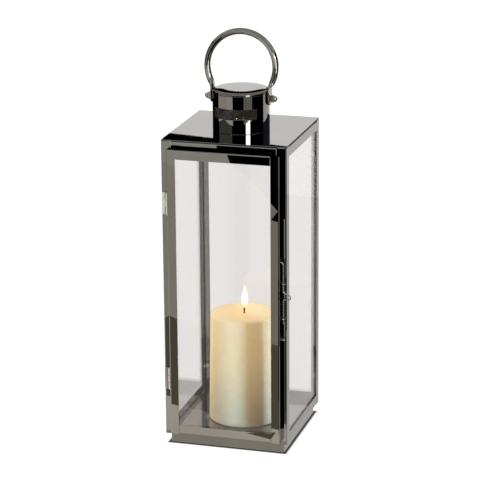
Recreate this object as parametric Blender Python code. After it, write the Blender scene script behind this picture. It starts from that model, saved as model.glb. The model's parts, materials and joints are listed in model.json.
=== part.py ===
"""Candle lantern: a glazed steel case with a hinged door, a vented chimney, a bail handle and a pillar candle.

Metres, +Z up. The door faces -Y. The origin is the centre of the plinth's underside.
"""

import math

import bmesh
import bpy
from mathutils import Matrix, Vector

MM = 0.001
FIT = 0.3 * MM              # clearance left between two pieces that touch

# ---- case -----------------------------------------------------------------
CASE = 132 * MM             # outside width and depth
SHEET = 1.0 * MM            # thickness of every folded steel section
BAR = 10.4 * MM             # face width of the case's angle bars
POST_FOLD = 1.6 * MM        # outer fold radius of a corner post
RAIL_FOLD = 1.2 * MM        # outer fold radius of rails and of the door's bars
PLINTH_HEIGHT = 11 * MM
PLINTH_INSET = 4.4 * MM
PLINTH_CORNER = 2.6 * MM
ROOF_TOP = 329 * MM
ROOF_EDGE = 0.4 * MM        # rounding of the roof's edges
ROOF_HOLE = 25 * MM         # radius of the smoke hole
GLASS = 3 * MM
POST_CLIP_HEIGHTS = (43 * MM, 290 * MM)

# ---- door -----------------------------------------------------------------
DOOR_LEFT = -57.2 * MM
DOOR_RIGHT = 60.9 * MM
DOOR_BOTTOM = 15.2 * MM
DOOR_TOP = 321.3 * MM
DOOR_FRONT = -75.8 * MM
DOOR_BACK = -66.4 * MM
STILE = 9 * MM              # face width of the door's upright bars
DOOR_RAIL = 9.8 * MM        # face height of the door's level bars
DOOR_CLIP_HEIGHTS = (60 * MM, 276 * MM)

# ---- hinges ---------------------------------------------------------------
HINGE_HEIGHTS = (73.2 * MM, 262.6 * MM)
HINGE_LENGTH = 23.5 * MM
HINGE_X = -59.6 * MM
HINGE_Y = -68.0 * MM
KNUCKLE = 1.6 * MM          # outer radius
HINGE_BORE = 0.9 * MM
HINGE_PIN = 0.6 * MM
LEAF = 0.8 * MM
CASE_LEAF_LEFT = -65.4 * MM
LEAF_CLEARANCE = 0.3 * MM   # a leaf's edge to the other leaf's knuckles
DOOR_LEAF_FRONT = -73.5 * MM

# ---- latch ----------------------------------------------------------------
BOLT_X = 63.2 * MM
BOLT_Y = -69.0 * MM
BOLT_WIRE = 0.7 * MM        # radius
BOLT_TOP = 210.8 * MM
BOLT_BEND = 207.3 * MM
BOLT_END = 144.0 * MM
LOOP_TOP = 176.8 * MM
LOOP_BOTTOM = 170.3 * MM
LOOP_TIP = 71.2 * MM        # X of the thumb loop's tip
STAPLE_WIRE = 0.45 * MM     # radius
STAPLE_BEND = 1.45 * MM     # radius of a staple's bend, at the wire's centre
GUIDE_HEIGHTS = (149.5 * MM, 186.6 * MM)
EYE_HEIGHT = 127.2 * MM

# ---- chimney --------------------------------------------------------------
COLLAR_RADIUS = 29.4 * MM
COLLAR_TOP = 368.2 * MM
COLLAR_LIP = 25.5 * MM      # inner radius of the lip that sits on the roof
SLOT_BOTTOM = 344.2 * MM
SLOT_TOP = 354.8 * MM
SLOT_HALF_ANGLE = 49        # degrees
CAP_RADIUS = 29.4 * MM
CAP_RIM = 369.7 * MM
CAP_CROWN = 371.6 * MM
CAP_UNDERSIDE = 368.5 * MM
CAP_PLUG = 27.9 * MM        # outer radius of the ring that centres the cap
CAP_PLUG_BOTTOM = 366.8 * MM

# ---- handle ---------------------------------------------------------------
PIVOT_HEIGHT = 361.9 * MM
HANDLE_LEAN = 3.6           # degrees, towards the back
RING_RADIUS = 36.3 * MM     # to the rod's centre
RING_HEIGHT = 31.8 * MM     # ring centre above the pivot
ROD = 3.3 * MM              # rod radius
TAB_INNER = 29.8 * MM
TAB_THICKNESS = 1.8 * MM
TAB_HALF_WIDTH = 6.6 * MM
TAB_HOLE = 2.3 * MM         # radius
SCREW_SHANK = 1.9 * MM
SCREW_HEAD = 3.8 * MM
SCREW_HEAD_DEPTH = 2.2 * MM
NUT_FLATS = 7 * MM
NUT_HEX_DEPTH = 3.4 * MM
NUT_DEPTH = 7 * MM
NUT_DOME = 3.0 * MM         # radius
NUT_BORE = 2.2 * MM

# ---- candle ---------------------------------------------------------------
CANDLE_X = 2 * MM
CANDLE_BASE_RADIUS = 38 * MM
CANDLE_TOP_RADIUS = 35.7 * MM
CANDLE_HEIGHT = 116 * MM
WAX_DISH = 0.8 * MM         # how far the top sinks towards the wick
WICK = 0.9 * MM             # radius
WICK_OUT = 8 * MM           # length above the wax

# ---- places worked out from the sizes above --------------------------------
HALF = CASE / 2
ROOF_UNDER = ROOF_TOP - SHEET
CASE_TOP = ROOF_UNDER - FIT
FLOOR_BOTTOM = PLINTH_HEIGHT + SHEET + FIT
FLOOR_TOP = FLOOR_BOTTOM + SHEET
PANE_OUTER = HALF - SHEET - FIT
PANE_INNER = PANE_OUTER - GLASS
PANE_BOTTOM = PLINTH_HEIGHT + SHEET + FIT
PANE_TOP = CASE_TOP - SHEET - FIT
CANDLE_BOTTOM = FLOOR_TOP + FIT
CANDLE_TOP = CANDLE_BOTTOM + CANDLE_HEIGHT
COLLAR_BOTTOM = ROOF_TOP + FIT
COLLAR_INNER = COLLAR_RADIUS - SHEET
TAB_OUTER = TAB_INNER + TAB_THICKNESS

X = Vector((1, 0, 0))
Y = Vector((0, 1, 0))
Z = Vector((0, 0, 1))


# ---- materials --------------------------------------------------------------
def material(name, colour, roughness, metallic, transmission=0.0):
    """One Principled BSDF with the piece's colour, roughness and metalness."""
    made = bpy.data.materials.new(name)
    made.use_nodes = True
    shader = made.node_tree.nodes["Principled BSDF"]
    shader.inputs["Base Color"].default_value = (*colour, 1.0)
    shader.inputs["Roughness"].default_value = roughness
    shader.inputs["Metallic"].default_value = metallic
    shader.inputs["Transmission Weight"].default_value = transmission
    return made


# ---- shape helpers ----------------------------------------------------------
def add_object(name, bm, finish, pivot=Vector((0, 0, 0))):
    """Turn a bmesh modelled in world space into an object whose origin is at pivot."""
    bmesh.ops.recalc_face_normals(bm, faces=bm.faces)
    bmesh.ops.translate(bm, verts=bm.verts, vec=-pivot)
    mesh = bpy.data.meshes.new(name)
    bm.to_mesh(mesh)
    bm.free()
    mesh.materials.append(finish)
    mesh.shade_smooth()
    mesh.set_sharp_from_angle(angle=math.radians(35))
    made = bpy.data.objects.new(name, mesh)
    made.location = pivot
    bpy.context.collection.objects.link(made)
    return made


def carve(target, tool, operation="DIFFERENCE"):
    """Cut tool out of target, or join it on, and keep only the result."""
    step = target.modifiers.new(operation.lower(), "BOOLEAN")
    step.operation = operation
    step.solver = "EXACT"
    step.object = tool
    bpy.context.view_layer.update()
    graph = bpy.context.evaluated_depsgraph_get()
    result = bpy.data.meshes.new_from_object(target.evaluated_get(graph))
    target.modifiers.clear()
    target.data = result
    bpy.data.objects.remove(tool)
    result.shade_smooth()
    result.set_sharp_from_angle(angle=math.radians(35))
    return target


def bridge(bm, rings, cyclic=False):
    """Join equal rings of points with quads. An open run gets end faces, a cyclic one joins up."""
    rows = [[bm.verts.new(point) for point in ring] for ring in rings]
    pairs = list(zip(rows, rows[1:]))
    if cyclic:
        pairs.append((rows[-1], rows[0]))
    for row, after in pairs:
        count = len(row)
        for i in range(count):
            bm.faces.new((row[i], row[(i + 1) % count], after[(i + 1) % count], after[i]))
    if not cyclic:
        bm.faces.new(rows[0])
        bm.faces.new(rows[-1])


def box(name, low, high, finish, round_edges=0.0):
    """A block between two corners, with its edges chamfered if asked."""
    bm = bmesh.new()
    size = Vector(high) - Vector(low)
    middle = (Vector(high) + Vector(low)) / 2
    bmesh.ops.create_cube(bm, size=1, matrix=Matrix.Translation(middle) @ Matrix.Diagonal((*size, 1)))
    if round_edges:
        bmesh.ops.bevel(bm, geom=bm.edges[:], offset=round_edges, segments=1, affect="EDGES")
    return add_object(name, bm, finish)


def cylinder(name, start, end, radius, finish, sides=24):
    """A round bar between two points."""
    start, end = Vector(start), Vector(end)
    bm = bmesh.new()
    turn = (end - start).to_track_quat("Z", "Y").to_matrix().to_4x4()
    place = Matrix.Translation((start + end) / 2) @ turn
    bmesh.ops.create_cone(bm, cap_ends=True, segments=sides, radius1=radius, radius2=radius,
                          depth=(end - start).length, matrix=place)
    return add_object(name, bm, finish)


def lathe(name, profile, finish, centre=(0, 0), sides=72):
    """Turn a closed (radius, height) outline about a vertical axis. The outline stays off the axis."""
    bm = bmesh.new()
    rings = []
    for i in range(sides):
        a = 2 * math.pi * i / sides
        rings.append([(centre[0] + r * math.cos(a), centre[1] + r * math.sin(a), z) for r, z in profile])
    bridge(bm, rings, cyclic=True)
    return add_object(name, bm, finish)


def turned(name, profile, finish, origin, axis, sides=24):
    """Turn an open (radius, distance) outline about an axis. Both of its ends get a flat face."""
    axis = Vector(axis)
    side = axis.orthogonal().normalized()
    other = axis.cross(side)
    bm = bmesh.new()
    rings = []
    for radius, along in profile:
        centre = Vector(origin) + axis * along
        angles = [2 * math.pi * i / sides for i in range(sides)]
        rings.append([centre + side * radius * math.cos(a) + other * radius * math.sin(a) for a in angles])
    bridge(bm, rings)
    return add_object(name, bm, finish)


def arc(centre, radius, start, end, steps):
    """Points on an arc in a plane, from start to end in degrees."""
    angles = [math.radians(start + (end - start) * i / steps) for i in range(steps + 1)]
    return [(centre[0] + radius * math.cos(a), centre[1] + radius * math.sin(a)) for a in angles]


def rounded_square(half, radius, z, steps=4):
    """A level square ring with round corners."""
    points = []
    for quarter, (sx, sy) in enumerate(((1, 1), (-1, 1), (-1, -1), (1, -1))):
        centre = (sx * (half - radius), sy * (half - radius))
        corner = arc(centre, radius, 90 * quarter, 90 * quarter + 90, steps)
        points.extend((x, y, z) for x, y in corner)
    return points


def angle_bar(name, corner, leg_a, leg_b, run, sizes, fold, finish):
    """A folded L section. corner is the start of its outer edge; the legs and the run are directions."""
    size_a, size_b, length = sizes
    inner = fold - SHEET
    outline = [(size_a, 0)]
    outline += arc((fold, fold), fold, 270, 180, 4)
    outline += [(0, size_b), (SHEET, size_b)]
    outline += arc((fold, fold), inner, 180, 270, 4)
    outline += [(size_a, SHEET)]
    bm = bmesh.new()
    rings = []
    for along in (0, length):
        rings.append([corner + leg_a * a + leg_b * b + run * along for a, b in outline])
    bridge(bm, rings)
    return add_object(name, bm, finish)


def sweep(bm, path, section, sides):
    """Sweep a section along a path. section(i) gives (half width, half thickness, squareness)."""
    tangents = []
    for i in range(len(path)):
        ahead = path[min(i + 1, len(path) - 1)]
        behind = path[max(i - 1, 0)]
        tangents.append((ahead - behind).normalized())
    across = tangents[0].orthogonal().normalized()
    rings = []
    for i, (point, tangent) in enumerate(zip(path, tangents)):
        across = (across - tangent * across.dot(tangent)).normalized()
        normal = tangent.cross(across)
        wide, thick, square = section(i)
        ring = []
        for k in range(sides):
            a = 2 * math.pi * k / sides
            c, s = math.cos(a), math.sin(a)
            u = math.copysign(abs(c) ** (2 / square), c)
            v = math.copysign(abs(s) ** (2 / square), s)
            ring.append(point + across * wide * u + normal * thick * v)
        rings.append(ring)
    bridge(bm, rings)


def wire(name, path, radius, finish, sides=10, pivot=Vector((0, 0, 0))):
    """Round wire along a path."""
    bm = bmesh.new()
    sweep(bm, path, lambda i: (radius, radius, 2), sides)
    return add_object(name, bm, finish, pivot)


def round_corners(points, radius, steps=5):
    """Replace each inner corner of a path with a curve that starts radius before it."""
    path = [Vector(points[0])]
    for before, corner, after in zip(points, points[1:], points[2:]):
        before, corner, after = Vector(before), Vector(corner), Vector(after)
        reach = min(radius, (corner - before).length / 2, (after - corner).length / 2)
        start = corner + (before - corner).normalized() * reach
        end = corner + (after - corner).normalized() * reach
        for i in range(steps + 1):
            t = i / steps
            path.append(start * (1 - t) ** 2 + corner * 2 * t * (1 - t) + end * t ** 2)
    path.append(Vector(points[-1]))
    return path


# ---- case -------------------------------------------------------------------
def build_plinth(steel):
    """A shallow folded pan, set in from the case, that the lantern stands on."""
    half = HALF - PLINTH_INSET
    top = PLINTH_HEIGHT - FIT
    edge = 0.4 * MM
    profile = [(half - edge, 0), (half, edge), (half, top), (half - SHEET, top), (half - SHEET, SHEET)]
    bm = bmesh.new()
    bridge(bm, [rounded_square(reach, PLINTH_CORNER - (half - reach), z) for reach, z in profile])
    add_object("plinth", bm, steel)


def build_floor(steel):
    """The sheet that the candle stands on, resting on the bottom rails' flanges."""
    half = PANE_INNER - 0.4 * MM
    box("floor_plate", (-half, -half, FLOOR_BOTTOM), (half, half, FLOOR_TOP), steel)


def build_posts(steel):
    """Four corner posts of folded angle."""
    height = CASE_TOP - PLINTH_HEIGHT
    for sx, side in ((-1, "left"), (1, "right")):
        for sy, face in ((-1, "front"), (1, "back")):
            corner = Vector((sx * HALF, sy * HALF, PLINTH_HEIGHT))
            angle_bar(f"corner_post_{face}_{side}", corner, -sx * X, -sy * Y, Z,
                      (BAR, BAR, height), POST_FOLD, steel)


def build_rails(steel):
    """Rails between the posts, four at the bottom and four under the roof."""
    half_length = HALF - BAR - FIT
    faces = {"front": (-Y, X), "back": (Y, X), "left": (-X, Y), "right": (X, Y)}
    for face, (outward, run) in faces.items():
        for level, z, leg in (("bottom", PLINTH_HEIGHT, Z), ("top", CASE_TOP, -Z)):
            corner = outward * HALF + Z * z - run * half_length
            angle_bar(f"{level}_rail_{face}", corner, leg, -outward, run,
                      (BAR, BAR, 2 * half_length), RAIL_FOLD, steel)


def build_roof(steel):
    """A flat sheet with softened edges and a round smoke hole."""
    bm = bmesh.new()
    rings = [rounded_square(HALF - ROOF_EDGE, POST_FOLD - ROOF_EDGE, ROOF_UNDER),
             rounded_square(HALF, POST_FOLD, ROOF_UNDER + ROOF_EDGE),
             rounded_square(HALF, POST_FOLD, ROOF_TOP - ROOF_EDGE),
             rounded_square(HALF - ROOF_EDGE, POST_FOLD - ROOF_EDGE, ROOF_TOP)]
    bridge(bm, rings)
    roof = add_object("roof_plate", bm, steel)
    hole = cylinder("smoke_hole", Z * (ROOF_UNDER - SHEET), Z * (ROOF_TOP + SHEET), ROOF_HOLE, steel, 72)
    carve(roof, hole)


def build_panes(glass, clip_steel):
    """Back and side panes inside the posts, each held by four bent clips."""
    box("glass_back", (-PANE_OUTER, PANE_INNER, PANE_BOTTOM), (PANE_OUTER, PANE_OUTER, PANE_TOP),
        glass, 0.3 * MM)
    front, back = -PANE_OUTER, PANE_INNER - FIT
    for sx, side in ((-1, "left"), (1, "right")):
        low_x, high_x = sorted((sx * PANE_INNER, sx * PANE_OUTER))
        box(f"glass_{side}", (low_x, front, PANE_BOTTOM), (high_x, back, PANE_TOP), glass, 0.3 * MM)

    reach, half_height, start = 3.4 * MM, 3 * MM, 5.8 * MM
    face = PANE_INNER - FIT
    for level, z in zip(("low", "high"), POST_CLIP_HEIGHTS):
        for sx, side in ((-1, "left"), (1, "right")):
            glass_clip(f"clip_back_{side}_{level}", Vector((sx * (HALF - start - reach), face, z)),
                       sx * X, -Y, reach, half_height, clip_steel)
            for sy, end in ((-1, "front"), (1, "back")):
                glass_clip(f"clip_{side}_{end}_{level}", Vector((sx * face, sy * (HALF - start - reach), z)),
                           sy * Y, -sx * X, reach, half_height, clip_steel)


def glass_clip(name, tip, root_way, thick_way, reach, half_height, finish):
    """A thin tongue with a round tip that presses on a pane's inner face."""
    outline = [(reach, half_height), (reach, -half_height)]
    outline += [(half_height - half_height * math.cos(math.radians(a)), -half_height * math.sin(math.radians(b)))
                for a, b in ((90, 90), (60, 60), (30, 30), (0, 0), (30, -30), (60, -60), (90, -90))]
    bm = bmesh.new()
    rings = []
    for depth in (0, 0.8 * MM):
        rings.append([tip + root_way * a + Z * b + thick_way * depth for a, b in outline])
    bridge(bm, rings)
    add_object(name, bm, finish)


# ---- chimney ----------------------------------------------------------------
def build_chimney(steel):
    """A rolled collar with a vent slot at the front and back, and a pressed cap."""
    collar = lathe("chimney_collar", [(COLLAR_RADIUS, COLLAR_BOTTOM), (COLLAR_RADIUS, COLLAR_TOP),
                                      (COLLAR_INNER, COLLAR_TOP), (COLLAR_INNER, COLLAR_BOTTOM + SHEET),
                                      (COLLAR_LIP, COLLAR_BOTTOM + SHEET), (COLLAR_LIP, COLLAR_BOTTOM)], steel)
    spare = 2 * MM
    for facing in (-90, 90):
        outline = arc((0, 0), COLLAR_RADIUS + spare, facing - SLOT_HALF_ANGLE, facing + SLOT_HALF_ANGLE, 24)
        outline += arc((0, 0), COLLAR_INNER - spare, facing + SLOT_HALF_ANGLE, facing - SLOT_HALF_ANGLE, 24)
        bm = bmesh.new()
        bridge(bm, [[(x, y, z) for x, y in outline] for z in (SLOT_BOTTOM, SLOT_TOP)])
        carve(collar, add_object("vent_slot", bm, steel))
    ends = X * (COLLAR_RADIUS + spare)
    centre = Z * PIVOT_HEIGHT
    carve(collar, cylinder("screw_holes", centre - ends, centre + ends, TAB_HOLE, steel))

    rise = CAP_CROWN - CAP_RIM
    flat = 0.55 * CAP_RADIUS
    steps = 8
    profile = []
    for i in range(steps + 1):
        r = flat + (CAP_RADIUS - flat) * i / steps
        drop = 1 - math.cos(math.pi / 2 * i / steps)
        profile.append((r, CAP_CROWN - rise * drop))
    profile += [(CAP_RADIUS, CAP_UNDERSIDE), (CAP_PLUG, CAP_UNDERSIDE), (CAP_PLUG, CAP_PLUG_BOTTOM),
                (CAP_PLUG - SHEET, CAP_PLUG_BOTTOM), (CAP_PLUG - SHEET, CAP_UNDERSIDE),
                (flat, CAP_UNDERSIDE)]
    turned("chimney_cap", [(r, z) for r, z in profile], steel, (0, 0, 0), Z, 72)


# ---- door -------------------------------------------------------------------
def build_door(steel, glass, clip_steel, parent):
    """Two stiles with the rails butted between them, a pane behind, and four clips."""
    depth = DOOR_BACK - DOOR_FRONT
    height = DOOR_TOP - DOOR_BOTTOM
    pieces = []
    for side, x, inward in (("left", DOOR_LEFT, X), ("right", DOOR_RIGHT, -X)):
        corner = Vector((x, DOOR_FRONT, DOOR_BOTTOM))
        pieces.append(angle_bar(f"door_stile_{side}", corner, inward, Y, Z,
                                (STILE, depth, height), RAIL_FOLD, steel))

    left = DOOR_LEFT + SHEET + FIT
    right = DOOR_RIGHT - SHEET - FIT
    for level, z, inward in (("bottom", DOOR_BOTTOM, Z), ("top", DOOR_TOP, -Z)):
        corner = Vector((left, DOOR_FRONT, z))
        rail = angle_bar(f"door_rail_{level}", corner, inward, Y, X,
                         (DOOR_RAIL, depth, right - left), RAIL_FOLD, steel)
        clear = SHEET + 2 * FIT
        for low_x, high_x in ((left - clear, DOOR_LEFT + STILE + FIT), (DOOR_RIGHT - STILE - FIT, right + clear)):
            notch = box("stile_notch", (low_x, DOOR_FRONT - clear, z - DOOR_RAIL - clear),
                        (high_x, DOOR_FRONT + POST_FOLD, z + DOOR_RAIL + clear), steel)
            carve(rail, notch)
        pieces.append(rail)

    front = DOOR_FRONT + SHEET + FIT
    back = front + GLASS
    pieces.append(box("door_glass", (left, front, DOOR_BOTTOM + SHEET + FIT),
                      (right, back, DOOR_TOP - SHEET - FIT), glass, 0.3 * MM))

    reach, half_height = 6 * MM, 3 * MM
    for level, z in zip(("low", "high"), DOOR_CLIP_HEIGHTS):
        for side, x, outward in (("left", left, -X), ("right", right, X)):
            tip = Vector((x, back + FIT, z)) - outward * reach
            name = f"door_clip_{side}_{level}"
            glass_clip(name, tip, outward, Y, reach, half_height, clip_steel)
            pieces.append(bpy.data.objects[name])
    for piece in pieces:
        keep_place(piece, parent)


# ---- hinges -----------------------------------------------------------------
def build_hinges(nickel, parent):
    """Two small butt hinges: a leaf on the post, a leaf on the door's side and a pin through both."""
    third = HINGE_LENGTH / 3
    post_face = -HALF - FIT
    door_side = DOOR_LEFT - FIT
    clear = KNUCKLE + LEAF_CLEARANCE
    for level, z in zip(("lower", "upper"), HINGE_HEIGHTS):
        bottom, top = z - HINGE_LENGTH / 2, z + HINGE_LENGTH / 2
        inner_bottom, inner_top = bottom + third, top - third

        def knuckle(name, low, high):
            return cylinder(name, (HINGE_X, HINGE_Y, low), (HINGE_X, HINGE_Y, high), KNUCKLE, nickel, 20)

        def bore(target):
            spare = 2 * MM
            carve(target, cylinder("bore", (HINGE_X, HINGE_Y, bottom - spare),
                                   (HINGE_X, HINGE_Y, top + spare), HINGE_BORE, nickel, 20))

        leaf = box(f"hinge_leaf_case_{level}", (CASE_LEAF_LEFT, post_face - LEAF, bottom),
                   (HINGE_X - clear, post_face, top), nickel)
        for low, high in ((bottom, inner_bottom - FIT / 2), (inner_top + FIT / 2, top)):
            tongue = box("tongue", (HINGE_X - clear - LEAF, post_face - LEAF, low),
                         (HINGE_X, post_face, high), nickel)
            carve(leaf, tongue, "UNION")
            carve(leaf, knuckle("knuckle", low, high), "UNION")
        bore(leaf)

        leaf = box(f"hinge_leaf_door_{level}", (door_side - LEAF, DOOR_LEAF_FRONT, bottom),
                   (door_side, HINGE_Y - clear, top), nickel)
        low, high = inner_bottom + FIT / 2, inner_top - FIT / 2
        tongue = box("tongue", (door_side - LEAF, HINGE_Y - clear - LEAF, low),
                     (door_side, HINGE_Y, high), nickel)
        carve(leaf, tongue, "UNION")
        carve(leaf, knuckle("knuckle", low, high), "UNION")
        bore(leaf)
        keep_place(leaf, parent)

        cylinder(f"hinge_pin_{level}", (HINGE_X, HINGE_Y, bottom - 0.5 * MM),
                 (HINGE_X, HINGE_Y, top + 0.5 * MM), HINGE_PIN, nickel, 16)


# ---- latch ------------------------------------------------------------------
def staple(name, z, bend_way, leg_way, leg_end, finish):
    """A U of wire round the bolt's line. Its legs run from the bend back to a face."""
    centre = Vector((BOLT_X, BOLT_Y, z))
    across = Z.cross(bend_way)
    path = [centre + across * STAPLE_BEND + leg_way * leg_end]
    for i in range(11):
        a = math.pi * i / 10
        path.append(centre + across * STAPLE_BEND * math.cos(a) + bend_way * STAPLE_BEND * math.sin(a))
    path.append(centre - across * STAPLE_BEND + leg_way * leg_end)
    return wire(name, path, STAPLE_WIRE, finish)


def build_latch(nickel, door_parent):
    """A drop bolt of bent wire, two staples that guide it on the post, and an eye on the door's side."""
    post_reach = -HALF - FIT - BOLT_Y
    for level, z in zip(("lower", "upper"), GUIDE_HEIGHTS):
        staple(f"latch_guide_{level}", z, -Y, Y, post_reach, nickel)
    eye = staple("latch_eye", EYE_HEIGHT, X, -X, BOLT_X - DOOR_RIGHT - FIT, nickel)
    keep_place(eye, door_parent)

    forward = 1.2 * MM
    corners = [(BOLT_X - 0.6 * MM, BOLT_Y - 3 * MM, BOLT_TOP),
               (BOLT_X, BOLT_Y, BOLT_BEND),
               (BOLT_X, BOLT_Y, LOOP_TOP),
               (LOOP_TIP, BOLT_Y - forward, LOOP_TOP - 1.4 * MM),
               (LOOP_TIP, BOLT_Y - forward, LOOP_BOTTOM + 0.6 * MM),
               (BOLT_X, BOLT_Y, LOOP_BOTTOM),
               (BOLT_X, BOLT_Y, BOLT_END)]
    wire("latch_bolt", round_corners(corners, 2.4 * MM), BOLT_WIRE, nickel, 10,
         Vector((BOLT_X, BOLT_Y, LOOP_BOTTOM)))


# ---- handle -----------------------------------------------------------------
def handle_path():
    """Half of the handle's centre line, from the foot of a tab up to the crown, in the XZ plane."""
    tab_x = (TAB_INNER + TAB_OUTER) / 2
    join = math.radians(-23)
    foot = -TAB_HALF_WIDTH
    tab_top = 9 * MM
    points = []
    for i in range(7):
        a = math.pi / 2 * i / 6
        points.append((tab_x, foot * math.cos(a), "tip"))
    points.append((tab_x, tab_top * 0.6, "tab"))
    start = Vector((tab_x, tab_top))
    end = Vector((RING_RADIUS * math.cos(join), RING_HEIGHT + RING_RADIUS * math.sin(join)))
    pull = (end - start).length * 0.4
    way = Vector((-math.sin(join), math.cos(join)))
    first, second = start + Vector((0, pull)), end - way * pull
    for i in range(9):
        t = i / 8
        spot = (start * (1 - t) ** 3 + first * 3 * t * (1 - t) ** 2
                + second * 3 * t ** 2 * (1 - t) + end * t ** 3)
        points.append((spot.x, spot.y, t))
    for i in range(1, 21):
        a = join + (math.pi / 2 - join) * i / 20
        points.append((RING_RADIUS * math.cos(a), RING_HEIGHT + RING_RADIUS * math.sin(a), "rod"))
    return points


def build_handle(steel):
    """A bail of round rod, its ends flattened into tabs with round tips, leaning a little back."""
    half = handle_path()
    points = half + [(-x, z, kind) for x, z, kind in reversed(half[:-1])]
    path = [Vector((x, 0, PIVOT_HEIGHT + z)) for x, z, kind in points]

    def section(i):
        x, z, kind = points[i]
        thin = TAB_THICKNESS / 2
        if kind == "tip":
            wide = math.sqrt(max(TAB_HALF_WIDTH ** 2 - z ** 2, (0.12 * TAB_HALF_WIDTH) ** 2))
            return wide, thin, 6
        if kind == "tab":
            return TAB_HALF_WIDTH, thin, 6
        if kind == "rod":
            return ROD, ROD, 2
        ease = kind * kind * (3 - 2 * kind)
        return (TAB_HALF_WIDTH + (ROD - TAB_HALF_WIDTH) * ease, thin + (ROD - thin) * ease, 6 - 4 * ease)

    bm = bmesh.new()
    sweep_flat(bm, path, section, 16)
    pivot = Z * PIVOT_HEIGHT
    handle = add_object("handle", bm, steel, pivot)
    ends = X * (TAB_OUTER + 2 * MM)
    carve(handle, cylinder("tab_holes", pivot - ends, pivot + ends, TAB_HOLE, steel))
    handle.rotation_euler.x = -math.radians(HANDLE_LEAN)


def sweep_flat(bm, path, section, sides):
    """Sweep along a path in the XZ plane, keeping the section's width along Y."""
    rings = []
    for i, point in enumerate(path):
        ahead = path[min(i + 1, len(path) - 1)]
        behind = path[max(i - 1, 0)]
        normal = (ahead - behind).normalized().cross(Y)
        wide, thick, square = section(i)
        ring = []
        for k in range(sides):
            a = 2 * math.pi * k / sides
            c, s = math.cos(a), math.sin(a)
            u = math.copysign(abs(c) ** (2 / square), c)
            v = math.copysign(abs(s) ** (2 / square), s)
            ring.append(point + Y * wide * u + normal * thick * v)
        rings.append(ring)
    bridge(bm, rings)


def build_fixings(nickel):
    """A screw from inside the collar and a domed nut outside, at each end of the handle."""
    centre = Z * PIVOT_HEIGHT
    flats = NUT_FLATS / 2 / math.cos(math.pi / 6)
    for sx, side in ((-1, "left"), (1, "right")):
        out = sx * X
        head_face = COLLAR_INNER - FIT
        nut_face = TAB_OUTER + FIT
        shank_end = nut_face + NUT_DEPTH - 1.8 * MM
        head_edge = SCREW_HEAD - 0.6 * MM
        profile = [(head_edge, head_face - SCREW_HEAD_DEPTH), (SCREW_HEAD, head_face - SCREW_HEAD_DEPTH + 0.6 * MM),
                   (SCREW_HEAD, head_face), (SCREW_SHANK, head_face), (SCREW_SHANK, shank_end)]
        turned(f"handle_screw_{side}", profile, nickel, centre, out)

        nut = turned(f"domed_nut_{side}", [(flats, nut_face), (flats, nut_face + NUT_HEX_DEPTH)],
                     nickel, centre, out, 6)
        dome = []
        dome_base = nut_face + NUT_DEPTH - NUT_DOME
        dome.append((NUT_DOME, nut_face + NUT_HEX_DEPTH / 2))
        for i in range(6):
            a = math.pi / 2 * i / 5.4
            dome.append((NUT_DOME * math.cos(a), dome_base + NUT_DOME * math.sin(a)))
        carve(nut, turned("dome", dome, nickel, centre, out), "UNION")
        bore_end = shank_end + FIT
        carve(nut, turned("bore", [(NUT_BORE, nut_face - MM), (NUT_BORE, bore_end)], nickel, centre, out))


# ---- candle -----------------------------------------------------------------
def build_candle(wax, cotton):
    """A moulded pillar, a little wider at its foot, with a wick through its whole height."""
    hole = WICK + FIT
    foot_round, rim_round = 1.6 * MM, 2.4 * MM
    outer_foot = arc((CANDLE_BASE_RADIUS - foot_round, CANDLE_BOTTOM + foot_round), foot_round, -90, 0, 3)
    outer_rim = arc((CANDLE_TOP_RADIUS - rim_round, CANDLE_TOP - rim_round), rim_round, 0, 90, 4)
    profile = [(hole, CANDLE_BOTTOM)] + outer_foot + outer_rim
    dish_edge = CANDLE_TOP_RADIUS - 2.2 * rim_round
    for i in range(6):
        t = i / 5
        r = dish_edge + (hole - dish_edge) * t
        profile.append((r, CANDLE_TOP - WAX_DISH * (1 - (1 - t) ** 2)))
    lathe("candle_wax", profile, wax, (CANDLE_X, 0), 64)

    foot = Vector((CANDLE_X, 0, CANDLE_BOTTOM + MM))
    leave = Vector((CANDLE_X, 0, CANDLE_TOP - WAX_DISH + MM))
    tip = leave + Vector((0.4 * WICK_OUT / 2, -0.2 * WICK_OUT / 2, WICK_OUT - MM))
    path = [foot, leave]
    for i in range(1, 7):
        t = i / 6
        path.append(leave.lerp(Vector((leave.x, leave.y, tip.z)), t).lerp(tip, t * t))
    wire("candle_wick", path, WICK, cotton, 12)


# ---- assembly ---------------------------------------------------------------
def keep_place(child, parent):
    """Parent an object without moving it."""
    child.parent = parent
    child.matrix_parent_inverse = parent.matrix_world.inverted()


def main():
    for item in list(bpy.data.objects):
        bpy.data.objects.remove(item)

    case_steel = material("dark_nickel_steel", (0.27, 0.26, 0.235), 0.08, 1.0)
    nickel = material("bright_nickel", (0.66, 0.64, 0.58), 0.22, 1.0)
    glass = material("clear_glass", (0.93, 0.97, 0.95), 0.02, 0.0, 1.0)
    wax = material("ivory_wax", (0.87, 0.79, 0.58), 0.42, 0.0)
    cotton = material("wick_cotton", (0.16, 0.07, 0.03), 0.9, 0.0)

    door_pivot = bpy.data.objects.new("door_pivot", None)
    door_pivot.location = (HINGE_X, HINGE_Y, 0)
    bpy.context.collection.objects.link(door_pivot)
    bpy.context.view_layer.update()

    build_plinth(case_steel)
    build_floor(case_steel)
    build_posts(case_steel)
    build_rails(case_steel)
    build_roof(case_steel)
    build_panes(glass, nickel)
    build_chimney(case_steel)
    build_door(case_steel, glass, nickel, door_pivot)
    build_hinges(nickel, door_pivot)
    build_latch(nickel, door_pivot)
    build_handle(case_steel)
    build_fixings(nickel)
    build_candle(wax, cotton)


main()
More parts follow.
